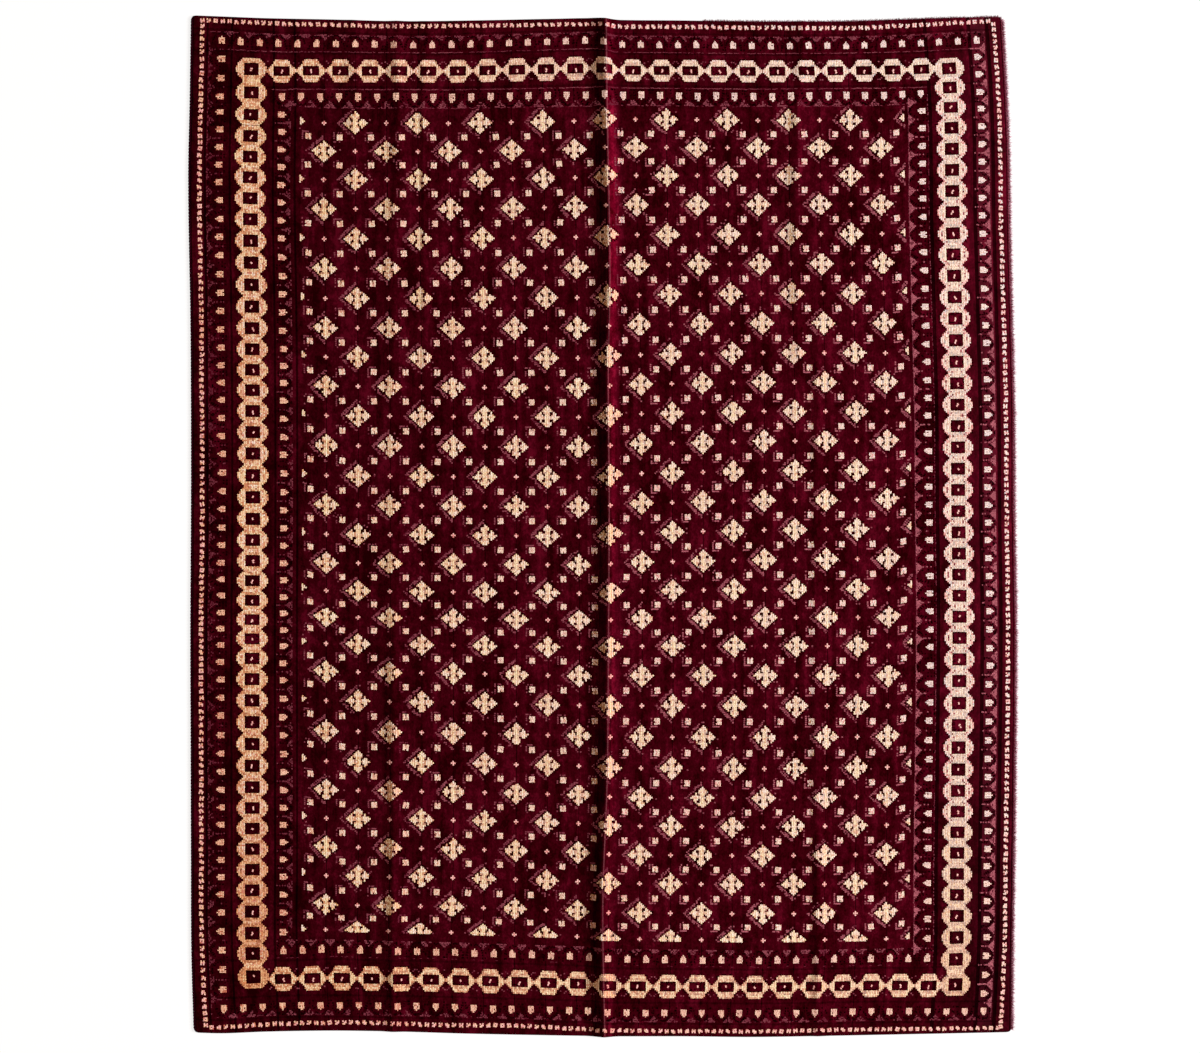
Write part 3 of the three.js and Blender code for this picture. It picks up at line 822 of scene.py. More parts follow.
class Knots:
    """The knots of one piece, gathered motif by motif and made into one mesh at the end."""

    def __init__(self, piece):
        self.piece = piece
        self.chance = np.random.default_rng(SEEDS[piece])
        self.gathered = []

    def some(self, like, likely):
        """Which of many knots are tied, by how likely each is."""
        return self.chance.random(like.shape) < likely

    def tie(self, p, q, turn, size, yarn, shade, tint=0.5):
        """Ties knots at places in the weave. Turn is the angle of a knot's ridge from the loom's
        length, size its width, length and height."""
        count = len(p)
        if not count:
            return
        each = (p, q, turn, *size, yarn, shade, tint)
        self.gathered.append(np.stack([np.broadcast_to(part, count) for part in each]))

    def stitch(
        self, motif, p, q, pitch, size, yarns, facing=0.0, keep=None, streak=0.5, bright=1.0
    ):
        """Ties a charted motif round each of many middles. Pitch is the room of a column and a
        row. Yarns gives the yarn of each letter, or those that it is chosen from. Facing is the
        angle that a motif's top is turned by. Keep says which knots are tied, and streak how much
        of a knot's shade is that of its column."""
        across, along, letters = motif
        p, q = np.atleast_1d(p).astype(float), np.atleast_1d(q).astype(float)
        facing = np.broadcast_to(facing, p.shape)
        u, v = across * pitch[0], along * pitch[1]
        all_p, all_q = from_middle(p[:, None], q[:, None], u, v, facing[:, None])
        columns = np.unique(across)
        strands = self.chance.random((len(p), len(columns)))
        strand = strands[:, np.searchsorted(columns, across)]
        shade = streak * strand + (1 - streak) * self.chance.random(all_p.shape)
        shade = LEAST_SHADE + (1 - LEAST_SHADE) * shade
        shade[self.some(all_p, DARK_STRANDS)] = DARK_STRAND_SHADE
        shade = shade * bright
        any_of = [np.atleast_1d(yarns[letter]) for letter in letters]
        yarn = np.stack([self.chance.choice(kinds, len(p)) for kinds in any_of], axis=1)
        turn = np.broadcast_to(facing[:, None], all_p.shape)
        u, v = np.broadcast_to(u, all_p.shape), np.broadcast_to(v, all_p.shape)
        kept = np.ones(all_p.shape, bool) if keep is None else keep(u, v, all_p, all_q)
        tint = np.broadcast_to(self.chance.random(len(p))[:, None], all_p.shape)
        at = all_p[kept], all_q[kept]
        self.tie(*at, turn[kept], size, yarn[kept], shade[kept], tint[kept])

    def corners(self, rug):
        """Works out every knot: its six corners, its yarn, its shade and tint, and whether it gets
        painted shade on a slope facing away from the lamp. The corners are the four of its base in
        turn, then the ends of its ridge."""
        gathered = np.concatenate(self.gathered, axis=1)
        p, q, turn, width, length, height, yarn, shade, tint = gathered
        count = len(p)
        chance = self.chance
        turn = turn + chance.normal(0, TURN_SPREAD, count)
        x, y = woven_to_lying(p, q)
        x, y = (place + chance.normal(0, far, count) for place, far in zip((x, y), PLACE_SPREAD))
        height = height * chance.uniform(*HEIGHT_SPREAD, count)
        fall = ground_height(x - SLOPE_REACH, y, rug) - ground_height(x + SLOPE_REACH, y, rug)
        slope = fall / (2 * SLOPE_REACH)
        # Painted shade on slopes that face the lamp
        shade = shade - np.clip(slope * SLOPE_PAINTS_DARKER, 0, MOST_PAINTED_DARKER)
        leans = chance.normal(0, LEAN_SPREAD, (count, 2))
        leans = leans - (np.clip(-slope * SLOPE_LEANS, 0, MOST_LEANING) * width)[:, None]
        ends = RIDGE_SHARE * length * chance.uniform(*RIDGE_SPREAD, count)
        # A knot's sides run on down to its root, so it is widest there.
        buried = 1 + rug.knot_root / height
        half_width = width / 2 * buried * CROWDING
        half_length = length * (RIDGE_SHARE + (0.5 * CROWDING - RIDGE_SHARE) * buried)
        root = -rug.knot_root
        base = ((-1, -1), (1, -1), (1, 1), (-1, 1))
        places = [(half_width * u, half_length * v, root) for u, v in base]
        places.append((leans[:, 0], -ends, height))
        places.append((leans[:, 1], ends, height * chance.uniform(*RIDGE_TILT, count)))
        points = np.empty((count, len(places), 3))
        for index, (u, v, up) in enumerate(places):
            point_x, point_y = from_middle(x, y, u, v, turn)
            above = ground_height(point_x, point_y, rug) + up
            points[:, index] = np.stack([point_x, point_y, above], axis=1)
        # Painted shade on cream knots on slopes that face away from the lamp
        likely = np.clip((-slope - PAINTED_SHADE_FROM) * SLOPE_PAINTS_SHADE, 0, MOST_PAINTED_SHADE)
        in_painted_shade = self.some(slope, likely) & np.isin(yarn, (CREAM, GOLD))
        return points, yarn, shade, tint, in_painted_shade

    def make(self, context, low=LOW_YARNS):
        """Makes the piece. Its knots of the yarns in low are small and flat."""
        materials = all_yarns(context.scene.rug_yarns)
        points, yarn, shade, tint, in_painted_shade = self.corners(context.scene.rug_sizes)
        is_low = np.isin(yarn, low)
        # A low knot has one peak, so its ridge's two ends are one point and its ends are joined.
        points[is_low, 4] = (points[is_low, 4] + points[is_low, 5]) / 2
        vectors = np.zeros(points.shape)
        vectors[:, :, 0] = shade[:, None]
        vectors[:, 4:, 1] = 1
        # Knots in painted shade take more of their root's painted shade
        vectors[in_painted_shade, 4:, 1] = PAINTED_SHADE_RIDGE
        vectors[:, :, 2] = tint[:, None]
        tall, flat = np.flatnonzero(~is_low), np.flatnonzero(is_low)
        used = np.ones(points.shape[:2], bool)
        used[flat, 5] = False
        number = np.cumsum(used.ravel()).reshape(used.shape) - 1
        faces = [number[tall][:, face] for face in (*TALL_SIDES, *TALL_ENDS)]
        faces += [number[flat][:, face] for face in FLAT_SIDES]
        face_yarns = np.concatenate([yarn[tall]] * 4 + [yarn[flat]] * 4)
        worked = np.unique(yarn).astype(int)
        made = mesh_object(
            self.piece,
            points[used],
            faces,
            {"yarn": vectors[used]},
            [materials[number] for number in worked],
            np.searchsorted(worked, face_yarns),
        )
        finish_piece(made)


def finish_piece(piece):
    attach(piece, "root")


# ---- the pattern

FIELD_COLUMN = 92.67  # room between the field's columns, each half a diamond's repeat
FIELD_ROW = 86.9
FIELD_COLUMNS = 19
FIELD_ROWS = 29
FIELD_TOP = 1213.0
FIELD_EDGES = (-907, 907, -1226, 1251)  # left, right, foot, head

OUTER_GUARD = (1140, 1443, 41, 55)  # half width and length, motifs across and along
INNER_GUARD = (959, 1283, 35, 49)
CHAIN = (1050, 1362, 25, 44)
# Each guard's spandrels, by side: where their bases are, how plainly they and their stems show,
# how far to the right of halfway between the tongues they lie, and how dark the arches are.
OUTER_SPANDRELS = {
    "head": (1473.5, 0.28, 0.0, -3.6, 0.6),
    "foot": (1473.5, 0.28, 0.0, -3.6, 0.6),
    "left": (1176, 0.08, 0.3, 0.0, 0.6),
    "right": (1164, 1.1, 0.55, 0.0, 0.45),
}
INNER_SPANDRELS = {
    "head": (1254, 0.42, 0.0, 0.0, 0.6),
    "foot": (1252, 0.42, 0.0, -2.4, 0.5),
    "left": (932, 0.2, 0.4, 0.0, 0.6),
    "right": (918, 1.0, 0.35, 0.0, 0.6),
}
GROOVES_ACROSS = (-1182, -1110, -984, -920, 984, 1117, 1174)
GROOVES_ALONG = (1479, 1412, 1311)

PETALS = (
    "       #       ",
    "      a##      ",
    "     aa###     ",
    "    naa###n    ",
    "   adkeyekd#   ",
    "  aaddeyedd##  ",
    " aa##neyen#### ",
)
DIAMOND = chart(*PETALS, "aa###b#y#b#####", *PETALS[::-1])
DIAMOND_PITCH = (4.8, 4.4)
DIAMOND_YARNS = {
    "#": (CREAM, CREAM, CREAM, GOLD),
    "a": (CREAM, APRICOT, GOLD),
    "y": GOLD,
    "e": (GOLD, APRICOT, FAWN),
    "b": FAWN,
    "k": (FAWN, FAWN, NIGHT),
    "n": (FAWN, NIGHT),
}
DIAMOND_RIM = (36.0, 33.0, 0.86)  # its half width and height, and how near them its rim starts
RAGGED = 0.88  # share of the rim's knots that are tied
SQUARES = [
    chart("#####", "##b##", "#####", "#####"),
    chart("## ##", "##b##", "##b##", "#####"),
    chart("#####", "#b###", " ####", "#####"),
    chart("##b##", "#####", "##b##", "## ##"),
]
SQUARE_PITCH = (3.4, 4.35)
SQUARE_TURN = 0.05
SQUARE_YARNS = {"#": (CREAM, CREAM, ROSE), "b": (FAWN, ROSE)}
SQUARE_YARNS_RIGHT = {"#": (CREAM, PINK, CREAM, ROSE), "b": (FAWN, ROSE)}
CROSS = chart(" # ", "###", " # ")
CROSS_PITCH, CROSS_HEIGHT = (4.6, 4.6), 0.8
BRACKET = chart("mmmmmm  ", *["m       "] * 4, "mmmmm   ")
BRACKET_PITCH = (4.1, 5.6)
BRACKET_KNOT = (4.0, 5.4, 1.3)  # width, length, and height for a sunk knot's
BRACKET_LEFTWARD = 2.3
BRACKET_BRIGHT = (0.45, 1.0)  # how bright brackets are in the rug's left and right half
BRACKET_STEM = 0.8  # share of their stems' knots to be seen, and of their lower and upper arms'
BRACKET_ARMS = ((0.15, 0.6), (1.0, 0.15))  # in the left half and in the right
TONGUES = [
    chart("  #  ", "#####", "##b##", "#####", "#b###"),
    chart("  #  ", " ### ", "#####", "##b##", "#####"),
    chart(" ##  ", "#### ", "#####", "#b###", "#####"),
    chart("  #  ", "#####", "#b#b#", "#####", "## ##"),
    chart("  ## ", "#####", "# ###", "###b#", "#####"),
]
TONGUE_PITCH = (3.5, 4.7)
SPANDREL = chart(
    "mmmmmmmmm",
    " mmmmmmm ",
    "  mmmmm  ",
    "   mmm   ",
    "    m    ",
)
SPANDREL_ROWS = len(np.unique(SPANDREL[1]))
SPANDREL_PITCH = (3.6, 3.9)
SPANDREL_HEIGHT = 1.4  # for a sunk knot's
STEM = chart(*"mmmmmmm")
PEARLS = [
    chart("## ", "###", "# #"),
    chart("###", "# #", "###"),
    chart("# #", " ##", "## "),
    chart("## ", "###", " ##"),
    chart("# #", "###", "# #"),
    chart(" ##", "###", "###"),
]
PEARL_PITCH = (3.9, 4.0)


def along_sides(half_width, half_length, across, along):
    """Middles of a border's motifs: their places, and the angle from up to outwards."""
    p = np.linspace(-half_width, half_width, across)
    q = np.linspace(-half_length, half_length, along)[1:-1]
    ends = (p, half_length, 0.0), (p, -half_length, math.pi)
    sides = (-half_width, q, math.pi / 2), (half_width, q, -math.pi / 2)
    return np.concatenate([np.broadcast_arrays(*side) for side in (*ends, *sides)], axis=1)


def field_places(parity, half_steps=0.0):
    """Middles of the field's motifs on every second crossing of its columns and rows."""
    columns, rows = np.meshgrid(np.arange(-1, FIELD_COLUMNS + 1), np.arange(FIELD_ROWS))
    if parity is not None:
        chosen = (columns + rows) % 2 == parity
        columns, rows = columns[chosen], rows[chosen]
    middle = (FIELD_COLUMNS - 1) / 2
    p = (columns.ravel() + half_steps - middle) * FIELD_COLUMN
    q = FIELD_TOP - (rows.ravel() + half_steps) * FIELD_ROW
    return p, q


def in_field(p, q):
    left, right, foot, head = FIELD_EDGES
    return (p > left) & (p < right) & (q > foot) & (q < head)


def cut_to_field(_u, _v, p, q):
    return in_field(p, q)


# How much paler each yarn turns towards the right: painted sheen, with some bleaching
LEAST_SHEEN_AND_BLEACH, SHEEN_AND_BLEACH, MOST_SHEEN_AND_BLEACH = (0.05, 0.10, 0.19), (0.18, 0.44, 0.50), (0.22, 0.56, 0.68)
PINK_SHEEN_AND_BLEACH = (0.10, 0.09, 0.10)
WARM_TINTS = ((1.0, 0.94, 0.96), (1.0, 0.98, 0.88))
YARNS = {  # in the order of their numbers: how much paler painted sheen, with some bleaching, makes each, and what tints it, or its root's painted shade
    "cream": {"sheen_and_fade": LEAST_SHEEN_AND_BLEACH, "tints": WARM_TINTS},
    "gold": {"sheen_and_fade": LEAST_SHEEN_AND_BLEACH, "tints": WARM_TINTS},
    "apricot": {"sheen_and_fade": SHEEN_AND_BLEACH, "tints": WARM_TINTS},
    "rose": {"sheen_and_fade": MOST_SHEEN_AND_BLEACH, "tints": WARM_TINTS},
    "pink": {"sheen_and_fade": PINK_SHEEN_AND_BLEACH},
    "fawn": {"sheen_and_fade": SHEEN_AND_BLEACH, "tints": WARM_TINTS},
    "mauve": {"root": DARK_ROOT_TINT},
    "night": {"root": DARK_ROOT_TINT},
}


def all_yarns(yarns):
    """Finishes of the yarns, in the order of their numbers, made when they are first wanted."""
    finishes = []
    for name, dyeing in YARNS.items():
        light, deep = getattr(yarns, name), getattr(yarns, f"{name}_deep")
        made = bpy.data.materials.get(f"{name}_wool")
        finishes.append(made or yarn_finish(f"{name}_wool", light, deep, **dyeing))
    return finishes


# ---- operators

FLANK_STEPS = np.array([0.05, 0.12, 0.2, 0.3, 0.42, 0.56, 0.76, 1.0])
# How the cloth rounds over at its edge: out from the top's edge, and down.
RIM = [(1.6, 0.5), (2.6, 1.9), (3.0, 4.2), (2.7, 7.0), (1.6, 8.7), (0.4, 9.3)]
RIM_WIDTH = 3.0
CORNER_ROWS = np.array([0.0, 4.0, 8.5])  # from an end's rim, the rows that round its corners
UNDERSIDE_STEP = 4  # lines of the top for each line of the underside


def cloth_lines(rows, rug):
    """For each row, the places across it of every line of the ground's mesh."""
    seam = CORD_WIDTH + SEAM_GAP + RIM_WIDTH
    stops = [left_side(rows) + seam, left_side(rows) + CORNER_RADIUS]
    for fold in CREASES:
        crest = read(fold["line"], "y", "crest", rows)
        stops += [crest - fold["left_flank"] * step for step in FLANK_STEPS[::-1]]
        stops += [crest]
        stops += [crest + fold["right_flank"] * step for step in FLANK_STEPS]
    stops += [right_side(rows) - CORNER_RADIUS, right_side(rows) - seam]
    middle = len(rows) // 2
    lines = [stops[0]]
    for start, end in zip(stops, stops[1:]):
        steps = max(math.ceil((end[middle] - start[middle]) / rug.ground_step), 1)
        lines += [start + (end - start) * step / steps for step in range(1, steps + 1)]
    return np.stack(lines, axis=1)


def cloth_rows(rug):
    """Places along the rug of the rows of the ground's mesh, closer together at its corners."""
    start, end = FOOT + RIM_WIDTH, HEAD - RIM_WIDTH
    count = math.ceil((end - start - 2 * CORNER_RADIUS) / rug.ground_rows) + 1
    inner = np.linspace(start + CORNER_RADIUS, end - CORNER_RADIUS, count)
    return np.concatenate([start + CORNER_ROWS, inner, (end - CORNER_ROWS)[::-1]])


def loop_round(indices):
    """The corners round a grid of point numbers, anticlockwise from its first."""
    sides = indices[0, :-1], indices[:-1, -1], indices[-1, :0:-1], indices[:0:-1, 0]
    return np.concatenate(sides)


def grid_faces(indices, upward=True):
    quads = [indices[:-1, :-1], indices[:-1, 1:], indices[1:, 1:], indices[1:, :-1]]
    return np.stack([part.ravel() for part in (quads if upward else quads[::-1])], axis=1)


def joined_loops(outer, inner, outer_at, inner_at):
    """Triangles between two loops, one with more points, each by how far round its points are."""
    faces, a, b = [], 0, 0
    while a < len(outer) or b < len(inner):
        next_outer = outer_at[a + 1] if a < len(outer) else np.inf
        next_inner = inner_at[b + 1] if b < len(inner) else np.inf
        here_outer, here_inner = outer[a % len(outer)], inner[b % len(inner)]
        if next_outer <= next_inner:
            faces.append((here_outer, outer[(a + 1) % len(outer)], here_inner))
            a += 1
        else:
            faces.append((here_outer, inner[(b + 1) % len(inner)], here_inner))
            b += 1
    return np.array(faces)


class RUG_OT_wool_ground(bpy.types.Operator):
    """Lays the burgundy cloth with its creases, rounded edges and underside"""

    bl_idname = "rug.wool_ground"
    bl_label = "Wool ground"

    def execute(self, context):
        rug, yarns = context.scene.rug_sizes, context.scene.rug_yarns
        rows = cloth_rows(rug)
        across = cloth_lines(rows, rug)
        along = np.repeat(rows[:, None], across.shape[1], axis=1)
        x, y, _ = lie(across, along, 0.0)
        top = np.stack([x, y, ground_height(x, y, rug)], axis=-1)
        top_numbers = np.arange(top.shape[0] * top.shape[1]).reshape(top.shape[:2])
        points, faces = [top.reshape(-1, 3)], [grid_faces(top_numbers)]
        total = len(points[0])

        edge_numbers = loop_round(top_numbers)
        edge = points[0][edge_numbers]
        ahead = np.roll(edge, -1, axis=0) - np.roll(edge, 1, axis=0)
        outward = np.stack([ahead[:, 1], -ahead[:, 0]], axis=1)
        outward /= np.linalg.norm(outward, axis=1)[:, None]
        flat = [points[0][:, :2]]
        before, unrolled = edge_numbers, 0.0
        last_out, last_down = 0.0, 0.0
        for out, down in RIM:
            ring = edge.copy()
            ring[:, :2] += outward * out
            ring[:, 2] -= down * (edge[:, 2] - rise(edge[:, 0], edge[:, 1])) / RIM[-1][1]
            numbers = total + np.arange(len(ring))
            unrolled += math.hypot(out - last_out, down - last_down)
            flat.append(edge[:, :2] + outward * unrolled)
            after, before_next = np.roll(numbers, -1), np.roll(before, -1)
            faces.append(np.stack([before, numbers, after, before_next], axis=1))
            points.append(ring)
            total += len(ring)
            before, last_out, last_down = numbers, out, down

        picked_rows = np.unique([*range(0, len(rows), UNDERSIDE_STEP), len(rows) - 1])
        lines = across.shape[1]
        picked_lines = np.unique([*range(0, lines, UNDERSIDE_STEP), lines - 1])
        under = top[np.ix_(picked_rows, picked_lines)].copy()
        under[:, :, 2] = rise(under[:, :, 0], under[:, :, 1])
        under_numbers = total + np.arange(under.shape[0] * under.shape[1])
        under_numbers = under_numbers.reshape(under.shape[:2])
        points.append(under.reshape(-1, 3))
        flat.append(points[-1][:, :2])
        underside = grid_faces(under_numbers, upward=False)
        inner = loop_round(under_numbers)
        at = {number: place for place, number in enumerate(edge_numbers)}
        above_inner = loop_round(top_numbers[np.ix_(picked_rows, picked_lines)])
        inner_at = [*(at[number] for number in above_inner), len(before)]
        hem = joined_loops(before, inner, range(len(before) + 1), inner_at)[:, ::-1]

        every_point = np.concatenate(points)
        flat = np.concatenate(flat) * MM
        left, foot, scale = UNDERSIDE_MAP
        top_map = flat[np.concatenate([face.ravel() for face in faces])] / WHOLE
        top_map = top_map + TOP_MAP_MIDDLE
        below = every_point[np.concatenate([underside.ravel(), hem.ravel()]), :2] * MM
        below_map = (below - CAD_BOX[0].xy) * scale + (left, foot)
        x, y, z = every_point.T
        weave = np.stack([*lying_to_woven(x, y), z], axis=1) * MM
        crest = np.zeros(every_point.shape)
        crest[:, 0] = (x - read(CREASES[MIDDLE_CREASE]["line"], "y", "crest", y)) * MM
        made = mesh_object(
            "wool_ground",
            every_point,
            [*faces, underside, hem],
            {"weave": weave, "crest": crest},
            [ground_finish(yarns)],
            maps=np.concatenate([top_map, below_map]),
        )
        finish_piece(made)
        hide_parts("rug_cloth")
        return {"FINISHED"}


# Round the cord: places across it and up it, as shares of its width and height.
CORD_SECTION = list(
    zip(
        (0.22, 0.78, 1.03, 1.07, 1.05, 0.78, 0.5, 0.22, 0.03, -0.04, 0.0),
        (0.0, 0.0, 0.25, 0.5, 0.74, 0.95, 1.04, 0.95, 0.74, 0.5, 0.25),
    )
)
ROWS_IN_TURN = 6
TURN_SLANT = 0.35  # of a turn, from one side of the cord to the other
TURN_ROUNDNESS = 0.7  # the less, the rounder
TURN_SWELLS = (0.75, 1.25)  # how deep the cord pulls in by single turns, for the usual depth
SEWN_FROM = 0.9  # how far across the cord lies against the cloth, where it isn't pulled in
RUBBED_FROM = 0.2  # how far up the cord its rubbing starts


def side_cord(name, node, left, context):
    """One side's overcast cord: a core wound with slanting turns of wool."""
    rug, yarns = context.scene.rug_sizes, context.scene.rug_yarns
    chance = np.random.default_rng(SEEDS[name])
    turns = round((HEAD - FOOT) / rug.turn_pitch)
    rows = np.linspace(FOOT, HEAD, turns * ROWS_IN_TURN + 1)
    section = np.array(CORD_SECTION)
    swell = np.repeat(chance.uniform(*TURN_SWELLS, turns + 1), ROWS_IN_TURN)[: len(rows)]
    points, vectors = [], []
    for across, up in section:
        slant = (across if left else 1 - across) * TURN_SLANT
        phase = (rows - FOOT) / rug.turn_pitch + slant
        ridge = np.abs(np.sin(math.pi * phase)) ** TURN_ROUNDNESS
        pull = 1 - (1 - ridge) * rug.turn_depth * swell / (CORD_WIDTH / 2)
        pull = 1 if up == 0 or across > SEWN_FROM else pull
        place, height = (0.5 + (part - 0.5) * pull for part in (across, up))
        inset = place * CORD_WIDTH
        x = left_side(rows) + inset if left else right_side(rows) - inset
        lying_x, lying_y, z = lie(x, rows, np.maximum(height, 0) * CORD_HEIGHT)
        points.append(np.stack([lying_x, lying_y, z], axis=1))
        outer = max(0.0, 1 - across) if up > RUBBED_FROM else 0.0
        vectors.append(np.stack([ridge, np.full(len(rows), outer), rows * MM], axis=1))
    points, vectors = np.stack(points, axis=1), np.stack(vectors, axis=1)
    around = len(section)
    numbers = np.arange(len(rows) * around).reshape(len(rows), around)
    closed = np.concatenate([numbers, numbers[:, :1]], axis=1)
    sides = grid_faces(closed, upward=not left)
    # The cord is cut off square at the foot and head, where its ends are sewn shut.
    caps = [
        np.stack([np.full(around - 2, end[0]), end[1:-1], end[2:]], axis=1)
        for end in (numbers[0], numbers[-1])
    ]
    backward = 1 if left else 0
    caps[backward] = caps[backward][:, ::-1]
    every_point = points.reshape(-1, 3)
    reach = np.concatenate([[0], np.cumsum(np.linalg.norm(np.diff(section, axis=0), axis=1))])
    reach = np.append(reach, reach[-1] + np.linalg.norm(section[0] - section[-1]))
    map_left, map_foot, map_width, map_height = CORD_MAP
    u, v = np.meshgrid(
        map_left + map_width * reach / reach[-1],
        (rows - FOOT) / (HEAD - FOOT) * map_height + map_foot,
    )
    corners = [(0, 0), (0, 1), (1, 1), (1, 0)]
    side_map = np.stack(
        [
            np.stack([part[a : len(rows) - 1 + a, b : around + b].ravel() for a, b in corners], 1)
            for part in (u, v)
        ],
        axis=-1,
    )
    side_map = side_map[:, ::-1] if left else side_map
    cap_map = [section[cap % around] * CAP_SCALE + at for cap, at in zip(caps, CAP_MAPS)]
    maps = np.concatenate([part.reshape(-1, 2) for part in (side_map, *cap_map)])
    vectors = {"yarn": vectors.reshape(-1, 3)}
    finish = cord_finish(yarns, left)
    made = mesh_object(name, every_point, [sides, *caps], vectors, [finish], maps=maps)
    finish_piece(made)
    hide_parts(node)


class RUG_OT_side_cords(bpy.types.Operator):
    """Winds the overcast cord along each side"""

    bl_idname = "rug.side_cords"
    bl_label = "Side cords"

    def execute(self, context):
        side_cord("cord_left_overcast", "side_cord_left", True, context)
        side_cord("cord_right_overcast", "side_cord_right", False, context)
        return {"FINISHED"}


def only(motif, letters):
    """The part of a chart that is tied in some of its yarns."""
    across, along, drawn = motif
    chosen = np.isin(drawn, list(letters))
    return across[chosen], along[chosen], drawn[chosen]


def drawn_chart(columns, rows, pitch, yarn_at):
    """A chart worked out from a rule that gives the yarn's letter, or a blank, at each place."""
    middles = (np.arange(count) - (count - 1) / 2 for count in (columns, rows))
    across, along = (part.ravel() for part in np.meshgrid(*middles))
    letters = np.array([yarn_at(u * pitch[0], v * pitch[1]) for u, v in zip(across, along)])
    chosen = letters != " "
    return across[chosen], along[chosen], letters[chosen]


DIAMOND_LINE = (49.5, 46.5, 0.13)  # half width, half height and thickness of its thin outline
DIAMOND_LINE_PITCH = (4.3, 4.6)
DIAMOND_LINE_CHART = (25, 23)  # columns and rows
DIAMOND_LINE_KNOT = (4.2, 5.0, 1.5)  # width, length, and height for a sunk knot's
DIAMOND_LINE_BRIGHT = (0.5, 0.7)  # how bright it is in the rug's left and right half
LINE_AT_LEFT = (0.68, 0.08)  # share of its left side's knots to be seen, and how that differs
LINE_AT_RIGHT = 0.03
NIGHT_BESIDE = (0.4, 0.3)  # share of the dark knots round a diamond, at its left and right; dark outline yarn, whose larger share at the left also stands in for painted shade


def thin_diamond(u, v):
    half_width, half_height, thickness = DIAMOND_LINE
    return "m" if abs(abs(u) / half_width + abs(v) / half_height - 1) < thickness else " "


class RUG_OT_field_diamonds(bpy.types.Operator):
    """Ties the cream diamonds of four petals, with their yellower middles"""

    bl_idname = "rug.field_diamonds"
    bl_label = "Field diamonds"

    def execute(self, context):
        rug = context.scene.rug_sizes
        knots = Knots("field_diamonds")
        p, q = field_places(1)
        size = knot_size(DIAMOND_PITCH, rug.tuft_height, wide=0.98, long=1.04)

        def ragged(u, v, at_p, at_q):
            half_width, half_height, near = DIAMOND_RIM
            likely = np.where(abs(u) / half_width + abs(v) / half_height > near, RAGGED, 1.0)
            return in_field(at_p, at_q) & knots.some(at_p, likely)

        petals = only(DIAMOND, DIAMOND_YARNS)
        knots.stitch(petals, p, q, DIAMOND_PITCH, size, DIAMOND_YARNS, keep=ragged)
        knots.make(context, low=())
        return {"FINISHED"}


class RUG_OT_field_outlines(bpy.types.Operator):
    """Ties the dark knots round the diamonds and their thin, half-hidden mauve outlines"""

    bl_idname = "rug.field_outlines"
    bl_label = "Field outlines"

    def execute(self, context):
        rug = context.scene.rug_sizes
        knots = Knots("field_outlines")
        p, q = field_places(1)
        night_size = knot_size(DIAMOND_PITCH, rug.sunk_height, wide=1.02, long=1.02)
        yarns = {"d": NIGHT, "m": MAUVE}

        def beside(u, v, at_p, at_q):
            return in_field(at_p, at_q) & knots.some(at_p, np.where(u < 0, *NIGHT_BESIDE))

        def half_hidden(u, v, at_p, at_q):
            share, differs = LINE_AT_LEFT
            left = share - differs * np.sign(v * at_p)
            return in_field(at_p, at_q) & knots.some(at_p, np.where(u < 0, left, LINE_AT_RIGHT))

        for motif in (only(DIAMOND, "d"), outline_of(DIAMOND)):
            knots.stitch(motif, p, q, DIAMOND_PITCH, night_size, yarns, keep=beside)
        line = drawn_chart(*DIAMOND_LINE_CHART, DIAMOND_LINE_PITCH, thin_diamond)
        width, length, tall = DIAMOND_LINE_KNOT
        size = (width, length, rug.sunk_height * tall)
        bright = np.where(p < 0, *DIAMOND_LINE_BRIGHT)[:, None]
        drawn = (DIAMOND_LINE_PITCH, size, yarns)
        knots.stitch(line, p, q, *drawn, keep=half_hidden, bright=bright)
        knots.make(context)
        return {"FINISHED"}


class RUG_OT_field_sprigs(bpy.types.Operator):
    """Ties the small squares with their brackets and the rose crosses between the diamonds"""

    bl_idname = "rug.field_sprigs"
    bl_label = "Field squares and crosses"

    def execute(self, context):
        rug = context.scene.rug_sizes
        knots = Knots("field_sprigs")
        p, q = field_places(None, 0.5)
        inside = in_field(p, q)
        p, q = p[inside], q[inside]
        size = knot_size(SQUARE_PITCH, rug.tuft_height, long=1.02)
        kinds = knots.chance.integers(0, len(SQUARES), len(p))
        for kind, motif in enumerate(SQUARES):
            for half, yarns in ((p < 0, SQUARE_YARNS), (p >= 0, SQUARE_YARNS_RIGHT)):
                chosen = (kinds == kind) & half
                turn = knots.chance.normal(0, SQUARE_TURN, chosen.sum())
                knots.stitch(motif, p[chosen], q[chosen], SQUARE_PITCH, size, yarns, turn)

        def half_hidden(u, v, at_p, at_q):
            left, right = (np.where(v < 0, *arms) for arms in BRACKET_ARMS)
            arm = np.where(at_p > 0, right, left)
            return knots.some(at_p, np.where(abs(v) > 2 * BRACKET_PITCH[1], arm, BRACKET_STEM))

        width, length, tall = BRACKET_KNOT
        size = (width, length, rug.sunk_height * tall)
        for half, bright in zip((p < 0, p >= 0), BRACKET_BRIGHT):
            at = p[half] - BRACKET_LEFTWARD, q[half]
            drawn = (BRACKET_PITCH, size, {"m": MAUVE})
            knots.stitch(BRACKET, *at, *drawn, keep=half_hidden, bright=bright)
        p, q = field_places(0)
        size = knot_size(CROSS_PITCH, rug.tuft_height * CROSS_HEIGHT)
        knots.stitch(CROSS, p, q, CROSS_PITCH, size, {"#": PINK}, keep=cut_to_field)
        knots.make(context)
        return {"FINISHED"}


